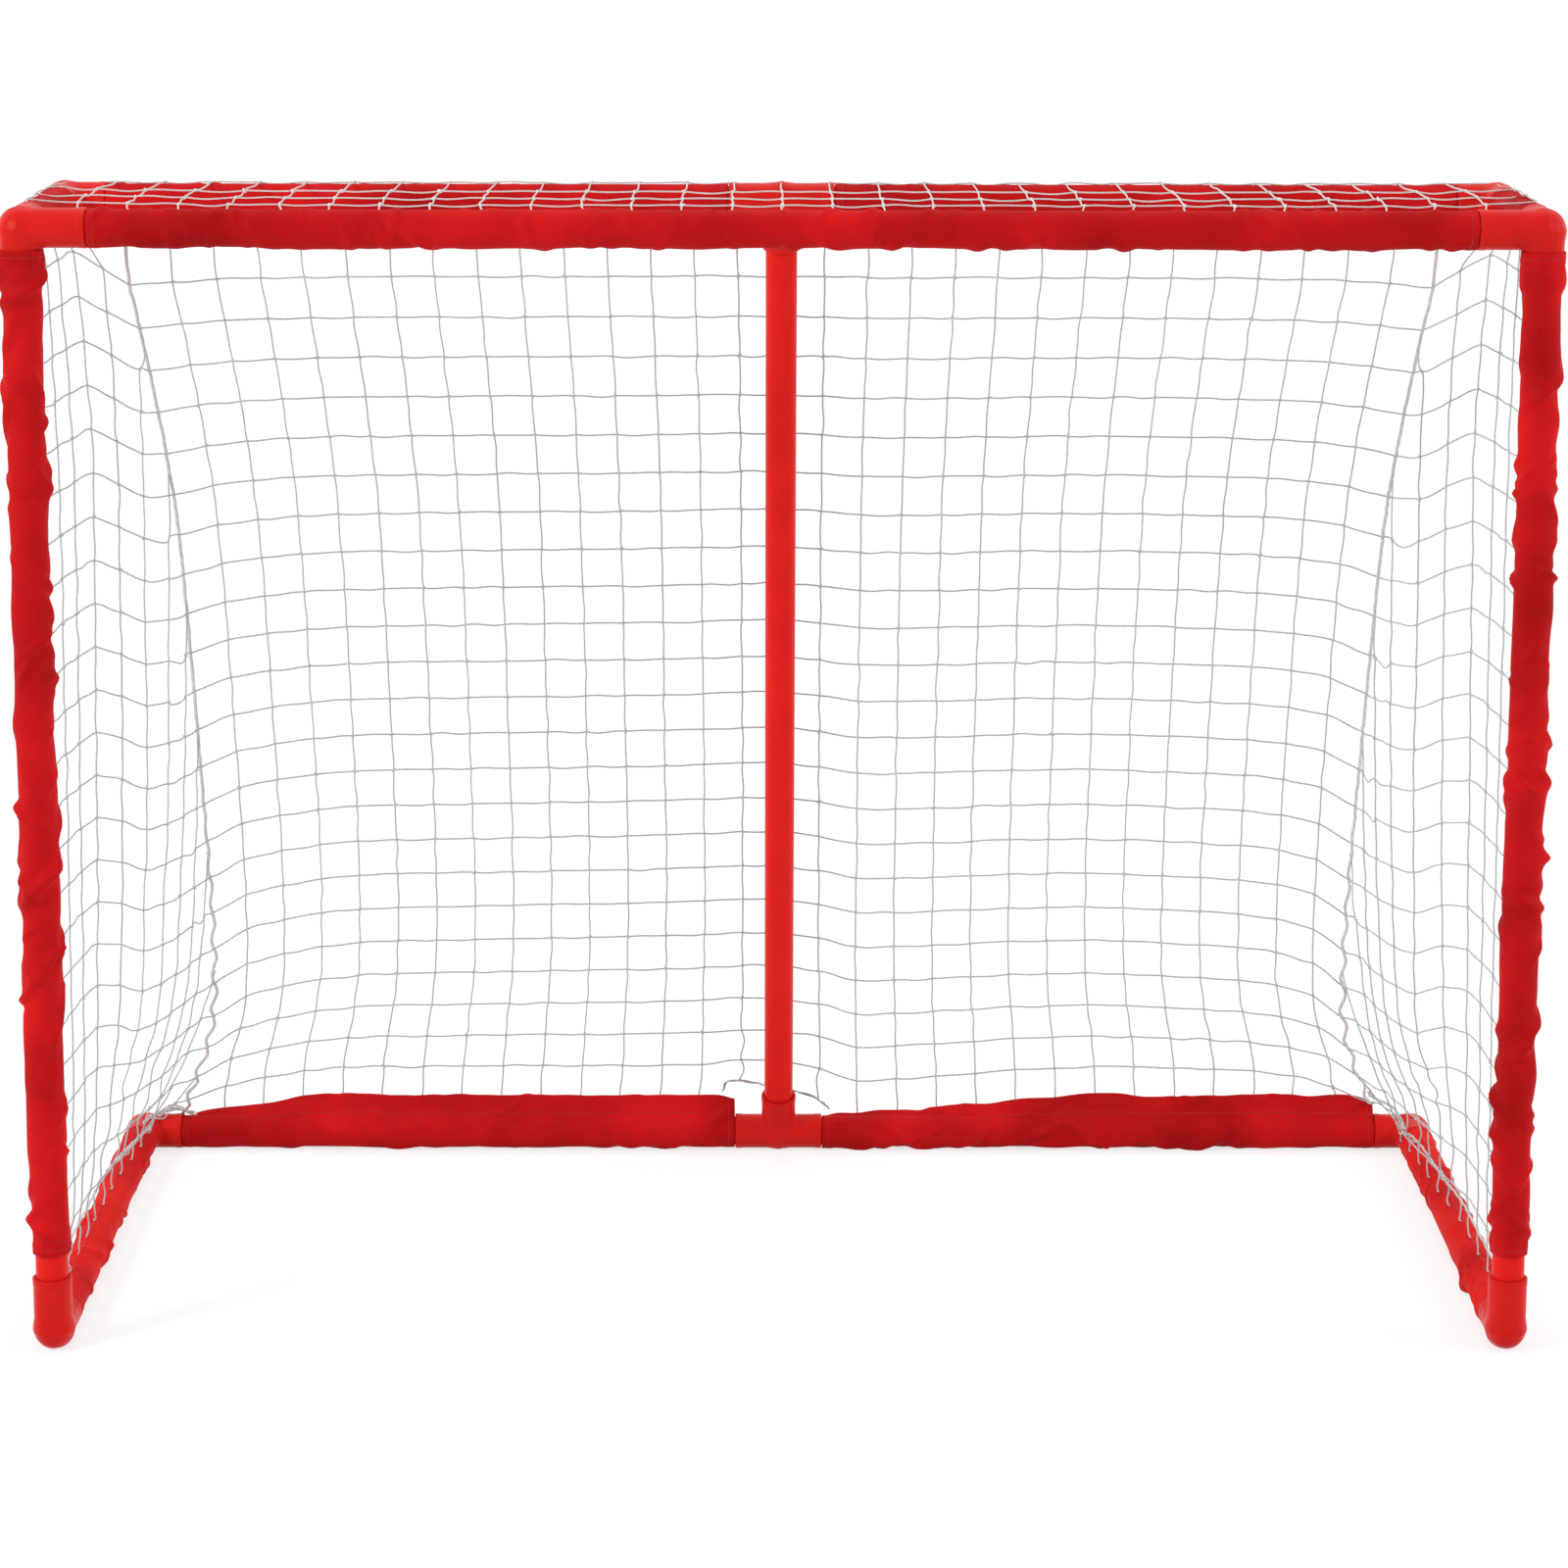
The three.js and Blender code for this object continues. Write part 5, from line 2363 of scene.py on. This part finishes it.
@dataclass(frozen=True)
class CornerTie:
    """A bundle of net ends that goes over a rear elbow from the hem to the rear sleeve."""

    side: Side
    seed: int
    count: int
    spots: tuple[tuple[float, float, float, float], ...]
    shake: float = 0.0004
    lowest: float = -0.2
    long_count: int = 3
    long_tied: tuple[int, ...] = (0, 5)
    short_tied: tuple[int, ...] = (1,)

    def strands(self) -> list[Chain]:
        """The strands of the bundle.

        Returns:
            The strands. Each spot says how far the bundle lies inwards from the side, and how far
            forwards of and above the rear bar, and how far its strands spread there.
        """
        lay = LAYOUT
        rng = np.random.default_rng(self.seed)
        made = []
        for strand in range(self.count):
            turn = TAU * strand / self.count
            line = []
            for x, y, z, spread in self.spots:
                shake = rng.normal(size=2) * self.shake
                aside = spread * math.cos(turn) / math.sqrt(2)
                rise = spread * max(self.lowest, math.sin(turn))
                out = self.side * (lay.axis_x - x - aside + shake[0])
                line.append((out, lay.base_rear_y - y - aside, lay.base_z + z + rise))
            points = np.array(line)
            tied = self.long_tied if strand < self.long_count else self.short_tied
            made.append(Chain(points, spans(points), tied))
        return made


CORNER_TIES = (
    CornerTie(
        Side.LEFT,
        91,
        6,
        (
            (0.006, 0.042, 0.0225, 0.0006),
            (0.010, 0.020, 0.0220, 0.0010),
            (0.020, 0.007, 0.0225, 0.0018),
            (0.030, 0.001, 0.0245, 0.0046),
            (0.040, -0.001, 0.0235, 0.0030),
            (0.047, 0.001, 0.0208, 0.0010),
            (0.055, 0.005, 0.0205, 0.0030),
        ),
    ),
    CornerTie(
        Side.RIGHT,
        92,
        4,
        (
            (0.0158, 0.042, 0.0170, 0.0006),
            (0.0150, 0.034, 0.0195, 0.0016),
            (0.020, 0.014, 0.0285, 0.0010),
            (0.029, 0.003, 0.0325, 0.0008),
            (0.038, -0.002, 0.0345, 0.0010),
            (0.0435, -0.004, 0.0385, 0.0016),
            (0.0455, -0.006, 0.0430, 0.0032),
        ),
    ),
)


def strand_sets(net: GoalNet) -> list[tuple[StrandSet, Finish]]:
    """The strands of the four panels and of the two corner ties, each with what it is made of.

    Args:
        net: The net, after it has hung.

    Returns:
        The strands and their finishes.
    """
    made: list[tuple[StrandSet, Finish]] = []
    for number, (name, cords) in enumerate(net.panels().items()):
        # The top panel wears the painted-light copy of the twine, the other panels the painted-shade copy.
        slack, finish = (Slack(wander=0.0005), LIT_TOP_TWINE) if name == "top_net" else (Slack(), SHADED_NET_TWINE)
        made.append((StrandSet(name, cords, 101 + number, slack), finish))
    for number, tie in enumerate(CORNER_TIES):
        slack, radius = Slack(step=0.003, wander=0.0004), 0.0008
        strands = StrandSet(f"corner_tie_{tie.side.label}", tie.strands(), 121 + number, slack, radius)
        made.append((strands, SEAM_TWINE))
    return made


# Stitches


def stitch_tree() -> NodeTree:
    """Sets a small stitch at every pitch along the lines of a mesh.

    Returns:
        The geometry tree.
    """
    sizes = {"Geometry": "Geometry", "Pitch": 0.0042, "Stitch Length": 0.0029}
    sizes |= {"Thread Radius": 0.00032, "Seed": 3, "Finish": "Material"}
    kit = Kit("stitches", "GeometryNodeTree", sizes, {"Geometry": "Geometry"})
    curve = kit.add("GeometryNodeMeshToCurve", {"Mesh": kit.come["Geometry"]}).outputs["Curve"]
    inputs = {"Curve": curve, "Length": kit.come["Pitch"]}
    points = kit.add("GeometryNodeCurveToPoints", inputs, mode="LENGTH").outputs
    inputs = {"Vertices": 5, "Radius": kit.come["Thread Radius"], "Depth": kit.come["Stitch Length"]}
    thread = kit.add("GeometryNodeMeshCylinder", inputs).outputs["Mesh"]
    inputs = {"Vector": points["Tangent"]}
    aim = kit.add("FunctionNodeAlignRotationToVector", inputs, axis="Z").outputs["Rotation"]
    size = kit.chance((0.9, 0.9, 0.85), (1.1, 1.1, 1.1))
    return kit.dressed(kit.scattered(points["Points"], thread, aim, size))


@dataclass
class Stitching:
    """All the stitches on one sleeve's hems and seam."""

    sleeve: Sleeve
    seed: int

    def build(self, tree: NodeTree, finish: Finish) -> None:
        """Makes the stitches.

        Args:
            tree: The geometry tree that sets them.
            finish: What the thread is made of.
        """
        name = self.sleeve.name
        carrier = line_object(f"{name}_stitch_lines", self.sleeve.stitch_lines())
        values = {"Seed": self.seed, "Finish": finish.material()}
        piece = apply_nodes(carrier, tree, values, f"{name}_stitches")
        seat(piece)


# The whole goal


def main() -> None:
    """Builds the whole scene, one group of pieces after another."""
    logging.basicConfig(level=logging.INFO, format="%(name)s: %(message)s")
    PhotoCamera().build()
    covers = sleeves()
    for sleeve in covers:
        sleeve.shape()
    net = GoalNet(tuple(cover.ridge for cover in covers if isinstance(cover, FlapSleeve)))
    net.hang()
    tree = strand_tree()
    for cord in heavy_cords(net):
        cord.build(tree, SEAM_TWINE)
    for strands, finish in strand_sets(net):
        strands.build(tree, finish)
    for part in fittings():
        part.build(MOULDED)
    for tube in tubes():
        tube.build(PIPE)
    sewing = stitch_tree()
    for number, sleeve in enumerate(covers):
        # The base side sleeves wear the painted-light copy of the cloth.
        sleeve.build(PAINTED_LIGHT_SIDE_CLOTH if "base_side" in sleeve.name else CLOTH)
        Stitching(sleeve, 131 + number).build(sewing, THREAD)
    Stage().build()


if __name__ == "__main__":
    main()
